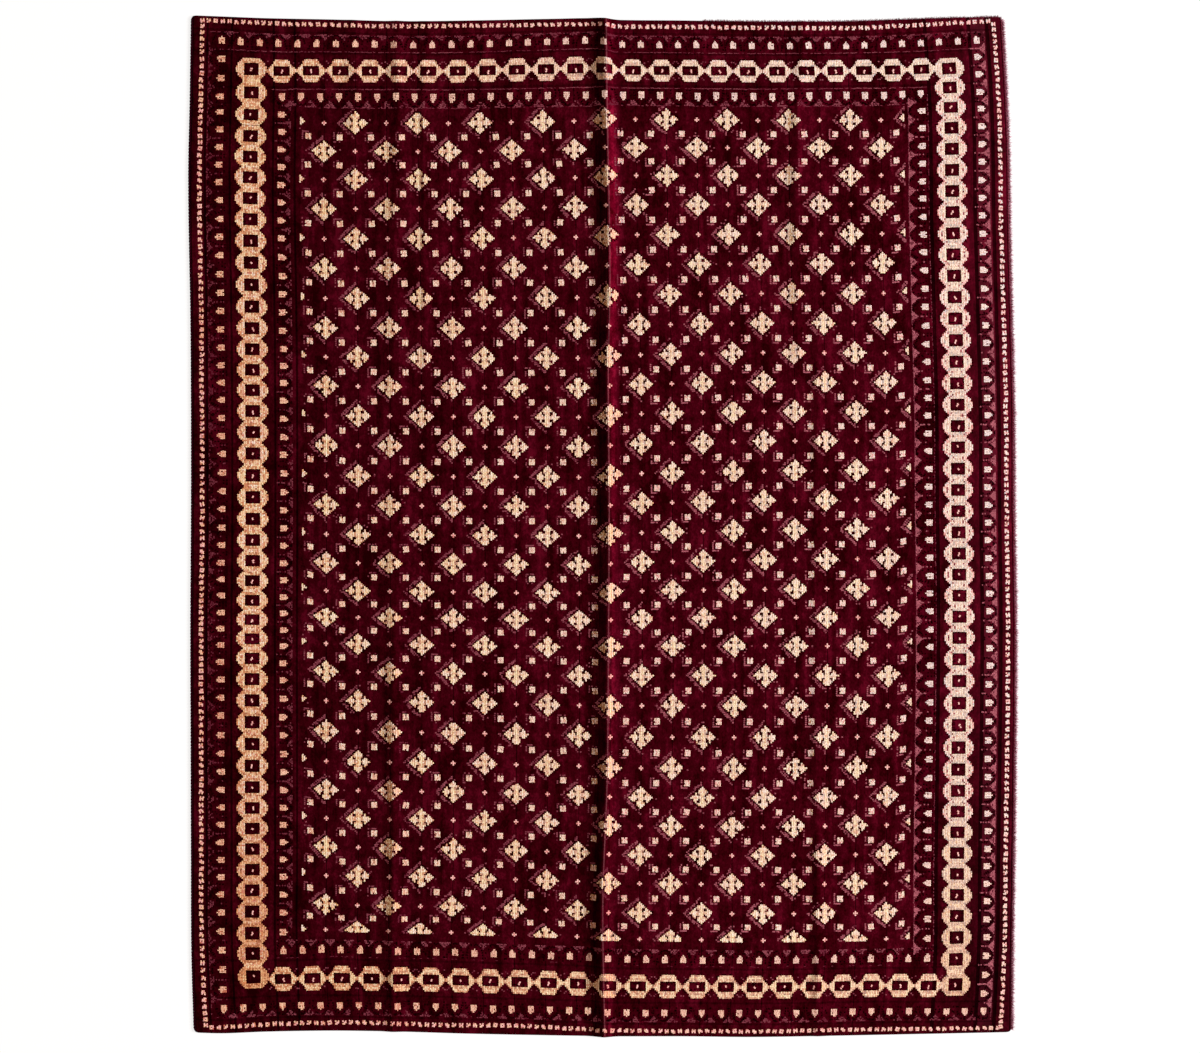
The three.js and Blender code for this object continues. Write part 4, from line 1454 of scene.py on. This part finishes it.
SIDE_LINK = {"columns": 19, "rows": 14, "pitch": (4.78, 4.52), "window": (21.5, 18.0)}
END_LINK = {"columns": 18, "rows": 14, "pitch": (4.861, 4.873), "window": (24.3, 14.7)}
LINK_WIDE = (45.5, 22.5, 8.5, 32.0)  # side link: half widths, and how far along each holds
LINK_TALL = (34.0, 4.5, 16.5, 41.5)  # end link: half heights, and how far across each holds
LINK_YARNS = {"#": (APRICOT, FAWN), "l": (FAWN, APRICOT), "w": NIGHT, "d": NIGHT}
ORANGE = {"o": (FAWN, APRICOT, APRICOT), "c": (CREAM, APRICOT, ROSE)}
PALE = {"o": (ROSE, PINK), "c": (CREAM, CREAM, APRICOT), "l": (FAWN, FAWN, MAUVE)}
PLAIN = {"o": (APRICOT, ROSE, FAWN), "c": (CREAM, APRICOT, APRICOT)}
GOLDEN = {"o": (APRICOT, FAWN), "c": (GOLD, APRICOT, APRICOT)}
WINDOW_RIM_KNOTS = (0.65, 0.3)  # share of a window's dark knots at its left and top, and elsewhere
LINK_EDGE_KNOTS = (0.35, 0.15)  # and of those round a link, at its left and right
END_LINK_OUTLINED = 9  # columns from an end link's middle to where its outline stops
DOT_KNOT, SECOND_KNOT = (4.6, 6.8), (4.2, 5.6)  # width and length of the dot's knots
DOT_RIGHTWARD, DOT_SPREAD, DOT_TURN = 1.0, 1.2, 0.5
DOT_SHADES = (0.5, 1.0)
SECOND_DOWN, SECOND_ACROSS = 5.4, (-3.0, 4.0)  # from the first knot to the second
SECOND_SHARE = 0.7  # of the links whose dot has a second knot
MARKS = (35.5, 23.0)  # from an end link's middle to the first mauve mark at each corner
MARK_STEPS, MARK_KNOT = (0.0, 5.0), (4.0, 4.6)
MARK_SHARE, MARK_SHADES = 0.6, (0.0, 0.5)


def tapered(place, shape):
    """Half width of a link at a place along it."""
    wide, narrow, start, end = shape
    part = min(max((abs(place) - start) / (end - start), 0), 1)
    return wide + (narrow - wide) * part


LINK_LINE = (9.5, 14.5)  # how far inside a link's edge its thin deeper line runs
WINDOW_RIM = 3.6  # and how near its window's edge they are dark
RIM_ROOM, OVER_ROOM = 1.1, 0.55  # how wide a link's rim and its window's sills are, in knots
LINKS_LEFT_PITCH = 0.9951  # the left side's links are woven a little closer
LINKS_LEFT_START = 1.0
# How far the links lie from even places along their side.
LINK_SHIFTS = table(
    place=[
        -1362, -1298, -1233, -1108, -918, -728, -538, -348, -158, 31, 221, 411, 601, 791, 981,
        1171, 1233, 1298, 1362,
    ],
    left=[0, 6, 0, -1, 0, 0.5, 0.5, 0, 0, 1, 2, 1, 0, 1, 0.5, -1, 2, 8, 0],
    right=[6, 8, 7, 5, 6, 3, 2.5, 2.5, 1.5, 2, 3.5, 5.5, 5.3, 3.4, 2, 1.5, 1.3, 1, 1],
    foot=[0.5, 0.5, 0.3, 0.5, -0.5, -1.5, 0, 1.2, -0.8, 0.5, 5.5, 4.3, 6.8, 6, 5.6, 5, 5, 5, 5],
    head=[2, 2, 2.1, 2, 2.5, 2.5, 1, 2.2, 1.2, 1, 0, 0.5, 3.5, 3.3, 3, 2, 2, 2, 2],
)
# How much duller the side links' yarn is towards the foot.
LINKS_DULLED = table(
    along=[-1400, -1150, -950, -740, -400, -200],
    left=[0.75, 0.6, 0.35, 0.08, 0.0, 0.0],
    right=[0.4, 0.4, 0.3, 0.15, 0.05, 0.0],
)
GOLDEN_BELOW = -860.0  # below this the right side's links are of a deeper gold
CORNER_LINKS_MOVED = (6, 0, -4, 1)  # along the loom, turning left from the foot's left
NECK = chart("#c##c##c##c", "c##c##c##c#", "##c##c##c##")  # fills the wider gaps by the corners
LINKS_ASIDE = {"left": 0.7, "right": -1.4, "foot": -1.2, "head": -2.8}  # across their side


def link_chart(link, at_side, at_end):
    """The chart of one link of the chain: its ring, lighter at its rims, and its dark window."""
    window_width, window_height = link["window"]

    def yarn_at(u, v):
        if abs(u) < window_width and abs(v) < window_height:
            near = min(window_width - abs(u), window_height - abs(v))
            return "w" if near < WINDOW_RIM else " "
        room = max(
            tapered(v, LINK_WIDE) - abs(u) if at_side else 0,
            tapered(u, LINK_TALL) - abs(v) if at_end else 0,
        )
        if room <= 0:
            return " "
        column, row = link["pitch"]
        if room < column * RIM_ROOM:
            return "o"
        beside = abs(u) < window_width + 2 * column and abs(v) < window_height
        if LINK_LINE[0] < room < LINK_LINE[1] and not beside:
            return "l"
        return "#" if abs(abs(v) - window_height - row) < row * OVER_ROOM else "c"

    return drawn_chart(link["columns"], link["rows"], link["pitch"], yarn_at)


def link_places():
    """The middles of the links on each side and of the corner links, from the foot's left."""
    half_width, half_length, across, along = CHAIN
    side_q = np.linspace(-half_length, half_length, along)[1:-1]
    end_p = np.linspace(-half_width, half_width, across)[1:-1]
    left_q = (side_q + half_length) * LINKS_LEFT_PITCH - half_length + LINKS_LEFT_START
    places = {}
    for side, spots in (("left", left_q), ("right", side_q), ("foot", end_p), ("head", end_p)):
        spots = spots + read(LINK_SHIFTS, "place", side, spots)
        half = half_width if side in ("left", "right") else half_length
        out = half if side in ("right", "head") else -half
        line = np.full(len(spots), LINKS_ASIDE[side] + out)
        places[side] = (line, spots) if side in ("left", "right") else (spots, line)
    corner_p = np.array([-half_width, half_width, half_width, -half_width])
    corner_q = np.array([-half_length, -half_length, half_length, half_length])
    places["corners"] = corner_p, corner_q + CORNER_LINKS_MOVED
    return places


def tie_links(knots, rug, link, at_side, at_end, places, yarns):
    """Ties links of one kind: each one's ring, dark window, outline and dot."""
    p, q = places
    yarns = {**LINK_YARNS, **yarns}
    motif, pitch = link_chart(link, at_side, at_end), link["pitch"]
    low_size = knot_size(pitch, rug.sunk_height)
    left, right = (read(LINKS_DULLED, "along", side, q) for side in ("left", "right"))
    bright = (1 - np.where(p < 0, left, right) * at_side)[:, None]
    size = knot_size(pitch, rug.tuft_height, long=1.02)
    knots.stitch(only(motif, "#ocl"), p, q, pitch, size, yarns, bright=bright)

    def rim(u, v, at_p, at_q):
        return knots.some(at_p, np.where((u < 0) | (v > 0), *WINDOW_RIM_KNOTS))

    def beside(u, v, at_p, at_q):
        return knots.some(at_p, np.where(u < 0, *LINK_EDGE_KNOTS))

    knots.stitch(only(motif, "w"), p, q, pitch, low_size, yarns, keep=rim)
    across, along, letters = outline_of(motif)
    own = abs(along) <= (link["rows"] - 1) / 2 if at_side else abs(across) <= END_LINK_OUTLINED
    edge = across[own], along[own], letters[own]
    knots.stitch(edge, p, q, pitch, low_size, yarns, keep=beside)
    count, chance = len(p), knots.chance
    off_p, off_q = chance.normal(0, DOT_SPREAD, (2, count))
    shade = chance.uniform(*DOT_SHADES, count)
    turn = chance.normal(0, DOT_TURN, count)
    size = (*DOT_KNOT, rug.tuft_height)
    knots.tie(p + off_p + DOT_RIGHTWARD, q + off_q, turn, size, PINK, shade)
    two = chance.random(count) < SECOND_SHARE
    at = p + off_p + chance.uniform(*SECOND_ACROSS, count), q + off_q - SECOND_DOWN
    size = (*SECOND_KNOT, rug.tuft_height)
    knots.tie(at[0][two], at[1][two], -turn[two], size, PINK, shade[two])


class RUG_OT_chain_border(bpy.types.Operator):
    """Ties the main border, a chain of eight-sided links"""

    bl_idname = "rug.chain_border"
    bl_label = "Chain border"

    def execute(self, context):
        rug = context.scene.rug_sizes
        knots = Knots("chain_border")
        places = link_places()
        (left_p, left), (right_p, right) = places["left"], places["right"]
        corner_p, corner_q = places["corners"]
        neck_p = np.array([*left_p[:3], right_p[0]])
        neck_q = [
            corner_q[0] + left[0],
            corner_q[3] + left[-1],
            left[-1] + left[-2],
            corner_q[1] + right[0],
        ]
        pitch = SIDE_LINK["pitch"]
        size = knot_size(pitch, rug.tuft_height, long=1.02)
        knots.stitch(NECK, neck_p, np.array(neck_q) / 2, pitch, size, {**LINK_YARNS, **GOLDEN})
        golden = right < GOLDEN_BELOW
        for link, at_side, at_end, spots, yarns in (
            (SIDE_LINK, True, False, places["left"], ORANGE),
            (SIDE_LINK, True, False, (right_p[~golden], right[~golden]), PALE),
            (SIDE_LINK, True, False, (right_p[golden], right[golden]), GOLDEN),
            (END_LINK, False, True, places["foot"], GOLDEN),
            (END_LINK, False, True, places["head"], PLAIN),
            (SIDE_LINK, True, True, (corner_p[:2], corner_q[:2]), GOLDEN),
            (SIDE_LINK, True, True, (corner_p[2:], corner_q[2:]), PLAIN),
        ):
            tie_links(knots, rug, link, at_side, at_end, spots, yarns)
        p, q = (np.concatenate(ends) for ends in zip(places["foot"], places["head"]))
        size = (*MARK_KNOT, rug.sunk_height)
        for way_p, way_q in ((-1, -1), (-1, 1), (1, -1), (1, 1)):
            for step in MARK_STEPS:
                some = knots.some(p, MARK_SHARE)
                at = (p + way_p * (MARKS[0] + step))[some], (q + way_q * (MARKS[1] + step))[some]
                shade = knots.chance.uniform(*MARK_SHADES, some.sum())
                knots.tie(*at, 0.0, size, MAUVE, shade)
        knots.make(context)
        return {"FINISHED"}


ARCH_FOOT = -15.0  # where an arch springs from, out from its tongue's middle
ARCH_KNOTS = 17
ARCH_RINGS = [(3.4, 1.0), (7.4, 0.6)]  # how far inside the arch's edge, and how whole
ARCH_KNOT = (4.2, 7.0)
TONGUE_FORWARD = 1.6  # how far a tongue's middle lies towards its tip
TONGUE_SPREAD = 0.7
TONGUE_STREAK = 0.75
TONGUES_FLIPPED = 0.5
SPANDREL_KNOTS = (0.4, 0.55)  # least share of a spandrel's knots, and more where it is plainer
STEM_DIFFERS = (0.3, 1.4)  # how much more or less of a stem is to be seen than is usual


def guard_side(p, q, places):
    """Which side of a guard each of its motifs is on."""
    across = np.where(p < 0, "left", "right")
    return np.where(abs(q) == places[1], np.where(q < 0, "foot", "head"), across)


def spandrel_spots(side, places, base, outward):
    """The middles of one side's spandrels and the angle from up to where their bases face."""
    half_p, half_q, across, along = places
    at_end, sign = side in ("head", "foot"), 1 if side in ("head", "right") else -1
    room = np.linspace(-half_p, half_p, across) if at_end else np.linspace(-half_q, half_q, along)
    between = (room[1:] + room[:-1]) / 2
    from_base = SPANDREL_ROWS / 2 * SPANDREL_PITCH[1]
    line = np.full(len(between), sign * (base - from_base if outward else base + from_base))
    facing = (0.0 if sign > 0 else math.pi) if at_end else -sign * math.pi / 2
    facing = facing if outward else facing + math.pi
    return (between, line, facing) if at_end else (line, between, facing)


def guard(name, places, spandrels, outward, context):
    """A guard stripe: tongues in dark arches, with mauve spandrels along one edge."""
    rug = context.scene.rug_sizes
    knots = Knots(name)
    letters = {"#": ROSE, "b": (FAWN, ROSE), "m": MAUVE}
    p, q, facing = along_sides(*places)
    facing = facing if outward else facing + math.pi
    sides = guard_side(p, q, places)
    kinds = knots.chance.integers(0, len(TONGUES), len(p))
    flipped = knots.some(p, TONGUES_FLIPPED)
    size = knot_size(TONGUE_PITCH, rug.tuft_height, wide=0.98)
    tongues = from_middle(p, q, 0, TONGUE_FORWARD, facing)
    for kind, motif in enumerate(TONGUES):
        for mirrored in (False, True):
            chosen = (kinds == kind) & (flipped == mirrored)
            drawn = (-motif[0], motif[1], motif[2]) if mirrored else motif
            at = [
                place[chosen] + knots.chance.normal(0, TONGUE_SPREAD, chosen.sum())
                for place in tongues
            ]
            own = (TONGUE_PITCH, size, letters, facing[chosen])
            knots.stitch(drawn, *at, *own, streak=TONGUE_STREAK)
    half_p, half_q, across, along = places
    at_end = abs(q) == half_q
    half_width = np.where(at_end, half_p / (across - 1), half_q / (along - 1))
    bases, darkness = (np.array([spandrels[side][part] for side in sides]) for part in (0, -1))
    height = np.abs(bases - np.where(at_end, half_q, half_p)) - ARCH_FOOT
    angle = np.linspace(0, math.pi, ARCH_KNOTS)
    for inside, whole in ARCH_RINGS:
        reach_u, reach_v = (half_width - inside)[:, None], (height - inside)[:, None]
        u, v = reach_u * np.cos(angle), ARCH_FOOT + reach_v * np.sin(angle)
        arch_p, arch_q = from_middle(p[:, None], q[:, None], u, v, facing[:, None])
        slope = np.arctan2(-reach_u * np.sin(angle), reach_v * np.cos(angle))
        kept = knots.some(arch_p, whole * darkness[:, None])
        turn, shade = (facing[:, None] + slope)[kept], knots.chance.random(kept.sum())
        arch_size = (*ARCH_KNOT, rug.sunk_height)
        knots.tie(arch_p[kept], arch_q[kept], turn, arch_size, NIGHT, shade)

    # A spandrel stands between each two tongues of a side, some with a stem.
    height = rug.sunk_height * SPANDREL_HEIGHT
    line_size = knot_size(SPANDREL_PITCH, height, wide=1.05, long=1.1)
    below = (SPANDREL_ROWS + len(STEM[1])) / 2 * SPANDREL_PITCH[1]
    for side, (base, plain, stemmed, shift, _) in spandrels.items():
        spot_p, spot_q, turn = spandrel_spots(side, places, base, outward)
        spot_p = spot_p + shift

        def half_hidden(u, v, at_p, at_q):
            least, more = SPANDREL_KNOTS
            return knots.some(at_p, least + more * plain)

        def stem_hidden(u, v, at_p, at_q):
            own = knots.chance.uniform(*STEM_DIFFERS, (len(at_p), 1))
            return knots.some(at_p, stemmed * own)

        drawn = (SPANDREL_PITCH, line_size, letters, turn)
        knots.stitch(SPANDREL, spot_p, spot_q, *drawn, keep=half_hidden, bright=plain)
        stems = from_middle(spot_p, spot_q, 0, -below, turn)
        knots.stitch(STEM, *stems, *drawn, keep=stem_hidden, bright=plain)
    knots.make(context)


class RUG_OT_outer_guard(bpy.types.Operator):
    """Ties the outer guard stripe, whose tongues point outwards"""

    bl_idname = "rug.outer_guard"
    bl_label = "Outer guard"

    def execute(self, context):
        guard("outer_guard", OUTER_GUARD, OUTER_SPANDRELS, True, context)
        return {"FINISHED"}


class RUG_OT_inner_guard(bpy.types.Operator):
    """Ties the inner guard stripe, whose tongues point to the field"""

    bl_idname = "rug.inner_guard"
    bl_label = "Inner guard"

    def execute(self, context):
        guard("inner_guard", INNER_GUARD, INNER_SPANDRELS, False, context)
        return {"FINISHED"}


PEARLS_ALONG = (-1196, 1197, 1498, 155)  # left and right lines, half length, how many
PEARLS_ACROSS = (-1178, 1181, 116)  # from, to, how many
FOOT_PEARLS_SPREAD = 1.0038  # those at the foot are a little farther apart
FOOT_PEARLS_START = -1.5
PEARL_SPREAD, PEARL_TURN = 0.7, 0.12
PEARL_YARNS = {"#": (ROSE, PINK)}
# How far the side lines' pearls lie from even places.
PEARL_SHIFTS = table(
    y=[-1498, -1284, -856, -642, -428, -214, 0, 214, 427, 642, 856, 1070, 1284, 1498],
    left=[1, 6, 9.5, 8.5, 11, 4.5, 8, 15, 8, 4, 11, 9, 7, 8],
    right=[-2.5, -5, -4, -7, -6, -4.5, -4.5, -3.5, 0, 1, -2, -1, -2.5, 0],
)
PEARL_ENDS = table(
    x=[-1178, -990, -750, -510, -390, -270, -150, -30, 90, 210, 330, 570, 700, 930, 1050, 1181],
    foot=[
        -1503, -1500, -1497, -1499, -1496, -1494, -1499, -1501, -1503, -1505, -1503, -1503, -1502,
        -1505, -1505, -1506,
    ],
    head=[
        1507, 1507, 1505, 1506, 1505, 1504, 1503, 1502, 1502, 1502, 1503, 1503, 1502, 1502, 1505,
        1508,
    ],
)
HAIRLINE_PITCH = 5.2
HAIRLINE_SHARE = 2.4  # knots kept of a line, for how whole it is
HAIRLINE_KNOTS = {"along": (2.2, 6.0), "across": (6.0, 2.4)}
HAIRLINE_SPREAD = 0.5
HAIRLINE_SHADES = (-0.5, 0.5)
HAIRLINE_WAVES = (47, 131, 2)  # its bright and dim stretches: how long, and where they start
HAIRLINES = [  # thin mauve lines: along the loom or across, place, half length, and how whole
    ("along", -1176, 1470, 0.12),
    ("along", 1164, 1470, 0.2),
    ("along", 978, 1300, 0.2),
    ("along", 918, 1253, 0.4),
    ("across", 1417, 1117, 0.3),
    ("across", 1470, 1170, 0.22),
    ("across", -1470, 1170, 0.08),
    ("across", 1304, 985, 0.35),
    ("across", 1254, 915, 0.2),
    ("across", -1303, 985, 0.06),
]


class RUG_OT_edge_pearls(bpy.types.Operator):
    """Ties the row of pearls inside each edge, and the thin lines beside the guards"""

    bl_idname = "rug.edge_pearls"
    bl_label = "Edge pearls and thin lines"

    def execute(self, context):
        rug = context.scene.rug_sizes
        knots = Knots("edge_pearls")
        left, right, half_length, along = PEARLS_ALONG
        q = np.linspace(-half_length, half_length, along)
        start, end, across = PEARLS_ACROSS
        p = np.linspace(start, end, across)
        foot, head = (read(PEARL_ENDS, "x", end, p) for end in ("foot", "head"))
        left_q, right_q = (q + read(PEARL_SHIFTS, "y", side, q) for side in ("left", "right"))
        foot_p = (p - start) * FOOT_PEARLS_SPREAD + start + FOOT_PEARLS_START
        all_p = np.concatenate([np.full(along, left), np.full(along, right), foot_p, p])
        all_q = np.concatenate([left_q, right_q, foot, head])
        all_p += knots.chance.normal(0, PEARL_SPREAD, len(all_p))
        all_q += knots.chance.normal(0, PEARL_SPREAD, len(all_q))
        kinds = knots.chance.integers(0, len(PEARLS), len(all_p))
        size = knot_size(PEARL_PITCH, rug.tuft_height, wide=1.2, long=1.2)
        for kind, motif in enumerate(PEARLS):
            chosen = kinds == kind
            turn = knots.chance.normal(0, PEARL_TURN, chosen.sum())
            at = all_p[chosen], all_q[chosen]
            knots.stitch(motif, *at, PEARL_PITCH, size, PEARL_YARNS, turn)
        for way, place, half, whole in HAIRLINES:
            spots = np.arange(-half, half, HAIRLINE_PITCH)
            spots = spots[knots.some(spots, HAIRLINE_SHARE * whole)]
            short_wave, long_wave, start = HAIRLINE_WAVES
            waves = np.sin(spots / short_wave + place) * np.sin(spots / long_wave + start)
            patchy = 0.5 + 0.5 * waves
            held = np.full(len(spots), place) + knots.chance.normal(0, HAIRLINE_SPREAD, len(spots))
            at = (held, spots) if way == "along" else (spots, held)
            shade = whole * (patchy + knots.chance.uniform(*HAIRLINE_SHADES, len(spots)))
            knots.tie(*at, 0.0, (*HAIRLINE_KNOTS[way], rug.sunk_height), MAUVE, shade)
        knots.make(context, low=(MAUVE,))
        return {"FINISHED"}


FUZZ_SIDE = 16000  # loose fibres along the right side, and along the right part of the head
FUZZ_HEAD = 3000
FUZZ_HEAD_ACROSS = (300.0, 1195.0)
FUZZ_FROM_CORNERS, FUZZ_FROM_HEAD = 6.0, 1.5
FUZZ_INWARD = (-1.0, 4.0)  # how far inside the right side a fibre starts
FUZZ_UP = (1.5, 8.0)
FUZZ_WIDTH = 1.9
FUZZ_LEAST, FUZZ_USUAL, FUZZ_LONGEST = 4.0, 4.0, 15.0  # least length, what is added, the most
FUZZ_HEAD_SHORTER = 0.6
FUZZ_TURN = 0.45
FUZZ_RISES = (-0.25, 0.3)
FUZZ_LOWEST = 0.4  # of a tip, over the floor
FUZZ_TIP_LIGHT = (8.0, 0.3)  # the length over which its tip gets light, and how light at least
FUZZ_FACES = ((0, 3, 1), (1, 3, 2), (2, 3, 0), (0, 1, 2))


class RUG_OT_edge_fuzz(bpy.types.Operator):
    """Pulls loose wool fibres out of the right cord and the right part of the head edge"""

    bl_idname = "rug.edge_fuzz"
    bl_label = "Edge fuzz"

    def execute(self, context):
        yarns = context.scene.rug_yarns
        chance = np.random.default_rng(SEEDS["edge_fuzz"])
        count = FUZZ_SIDE + FUZZ_HEAD
        at_side = np.arange(count) < FUZZ_SIDE
        y = chance.uniform(FOOT + FUZZ_FROM_CORNERS, HEAD - FUZZ_FROM_CORNERS, count)
        y = np.where(at_side, y, HEAD - FUZZ_FROM_HEAD)
        x = chance.uniform(*FUZZ_HEAD_ACROSS, count)
        x = np.where(at_side, right_side(y) - chance.uniform(*FUZZ_INWARD, count), x)
        start = np.stack(lie(x, y, chance.uniform(*FUZZ_UP, count)), axis=1)
        length = FUZZ_LEAST + chance.exponential(FUZZ_USUAL, count)
        length = np.minimum(length, FUZZ_LONGEST) * np.where(at_side, 1.0, FUZZ_HEAD_SHORTER)
        turn = np.where(at_side, 0.0, math.pi / 2) + chance.normal(0, FUZZ_TURN, count)
        cos, sin, level = np.cos(turn), np.sin(turn), np.zeros(count)
        out, beside = np.stack([cos, sin, level], axis=1), np.stack([-sin, cos, level], axis=1)
        half = FUZZ_WIDTH / 2
        tip = start + out * length[:, None]
        tip[:, 2] += chance.uniform(*FUZZ_RISES, count) * length
        tip[:, 2] = np.maximum(tip[:, 2], FUZZ_LOWEST)
        below = np.array([0.0, 0.0, half])
        points = np.stack([start - beside * half, start + beside * half, start - below, tip], 1)
        vectors = np.zeros((count, 4, 3))
        vectors[:, :, 0] = chance.random(count)[:, None]
        lightens, least = FUZZ_TIP_LIGHT
        vectors[:, 3, 1] = np.clip((length - FUZZ_LEAST) / lightens, least, 1)
        first = np.arange(count)[:, None] * 4
        faces = [first + np.array(face) for face in FUZZ_FACES]
        finish = yarn_finish("loose_fibre_wool", yarns.fuzz, yarns.fuzz_deep, root=FUZZ_ROOT_TINT)
        vectors = {"yarn": vectors.reshape(-1, 3)}
        made = mesh_object("edge_fuzz", points.reshape(-1, 3), faces, vectors, [finish])
        finish_piece(made)
        return {"FINISHED"}


class RUG_OT_cloth_facts(bpy.types.Operator):
    """Does nothing more; the ground is a sheet of cloth laid flat, with its knots and cords on it
    """

    bl_idname = "rug.cloth_facts"
    bl_label = "Cloth facts"

    def execute(self, context):
        return {"FINISHED"}


CAMERA_PLACE = (-0.0058, -0.0018)
FLOOR_DROP = 0.0002
FLOOR_MOTTLE = {"scale": 6.0}
FLOOR_LEAST, FLOOR_MORE = 0.99, 0.02  # how light the floor is, and what its mottle adds
WHITE = (1.0, 1.0, 1.0, 1.0)
SHOWN_WHITE = 0.8  # how much of the floor the camera sees as plain white
SEEN_FLOOR_STRENGTH = 1.04
SENSOR_WIDTH = 36.0  # of the camera, in millimetres
FARTHEST_SEEN = 200.0  # from the camera, in metres


class RUG_OT_studio(bpy.types.Operator):
    """Sets the floor, the soft lamp, the light from all round and the camera overhead"""

    bl_idname = "rug.studio"
    bl_label = "Studio"

    def execute(self, context):
        scene, studio = context.scene, context.scene.rug_studio
        half = studio.floor_size / 2
        mesh = bpy.data.meshes.new("studio_floor")
        corners = [(-half, -half), (half, -half), (half, half), (-half, half)]
        mesh.from_pydata([(*corner, -FLOOR_DROP) for corner in corners], [], [(0, 1, 2, 3)])
        floor = placed("studio_floor", mesh)
        finish = Finish("pale_floor")
        mottle = FLOOR_LEAST + FLOOR_MORE * finish.noise(finish.place(), **FLOOR_MOTTLE)
        tone = finish.shaded(studio.floor, mottle)
        paint = finish.node("BsdfDiffuse", {}, {"Color": tone})
        white = finish.node("Emission", {}, {"Color": WHITE, "Strength": SEEN_FLOOR_STRENGTH})
        seen = finish.node("LightPath", {}, {}) * SHOWN_WHITE
        shown = finish.node("MixShader", {}, {0: seen, 1: paint, 2: white})
        finish.node("OutputMaterial", {}, {"Surface": shown})
        mesh.materials.append(finish.made)

        lamp = bpy.data.lights.new("soft_key", "AREA")
        lamp.shape = "SQUARE"
        lamp.size = studio.key_size
        lamp.energy = studio.key_power
        lamp.color = studio.key_tint
        key = placed("soft_key", lamp)
        key.visible_camera = False
        out = math.cos(studio.key_elevation), 0.0, math.sin(studio.key_elevation)
        key.location = Vector(out) * studio.key_distance
        key.rotation_euler = Vector(out).to_track_quat("Z", "Y").to_euler()

        light = Finish("studio_world", "worlds")
        round_it = {"Color": (*studio.ambient_tint, 1.0), "Strength": studio.ambient}
        ambient = light.node("Background", {}, round_it)
        backdrop = light.node("Background", {}, {"Color": WHITE, "Strength": 1.0})
        seen = light.node("LightPath", {}, {})
        shown = light.node("MixShader", {}, {0: seen, 1: ambient, 2: backdrop})
        light.node("OutputWorld", {}, {"Surface": shown})
        scene.world = light.made

        lens = bpy.data.cameras.new("overhead_camera")
        lens.sensor_width = SENSOR_WIDTH
        lens.lens = studio.lens
        lens.clip_end = FARTHEST_SEEN
        camera = placed("overhead_camera", lens)
        camera.location = (*CAMERA_PLACE, studio.camera_height)
        scene.camera = camera
        scene.view_settings.view_transform = "Standard"
        return {"FINISHED"}


class RUG_PT_making(bpy.types.Panel):
    """The rug's sizes, colours and pieces"""

    bl_label = "Lattice wool rug"
    bl_space_type = "VIEW_3D"
    bl_region_type = "UI"
    bl_category = "Rug"

    def draw(self, context):
        for group in (context.scene.rug_sizes, context.scene.rug_yarns, context.scene.rug_studio):
            box = self.layout.box()
            for name in group.bl_rna.properties.keys():
                if name not in ("rna_type", "name"):
                    box.prop(group, name)
        for operator in OPERATORS:
            self.layout.operator(operator.bl_idname)


GROUPS = {"rug_sizes": RugSizes, "rug_yarns": RugYarns, "rug_studio": RugStudio}
OPERATORS = (
    RUG_OT_studio, RUG_OT_wool_ground, RUG_OT_side_cords, RUG_OT_field_diamonds,
    RUG_OT_field_outlines, RUG_OT_field_sprigs, RUG_OT_chain_border,
    RUG_OT_outer_guard, RUG_OT_inner_guard, RUG_OT_edge_pearls,
    RUG_OT_edge_fuzz, RUG_OT_cloth_facts,
)


def register():
    for kind in (*GROUPS.values(), *OPERATORS, RUG_PT_making):
        bpy.utils.register_class(kind)
    for name, group in GROUPS.items():
        setattr(bpy.types.Scene, name, PointerProperty(type=group))


def unregister():
    for name in GROUPS:
        delattr(bpy.types.Scene, name)
    for kind in (RUG_PT_making, *reversed(OPERATORS), *GROUPS.values()):
        bpy.utils.unregister_class(kind)


def main():
    register()
    for operator in OPERATORS:
        group, name = operator.bl_idname.split(".")
        getattr(getattr(bpy.ops, group), name)()


if __name__ == "__main__":
    main()
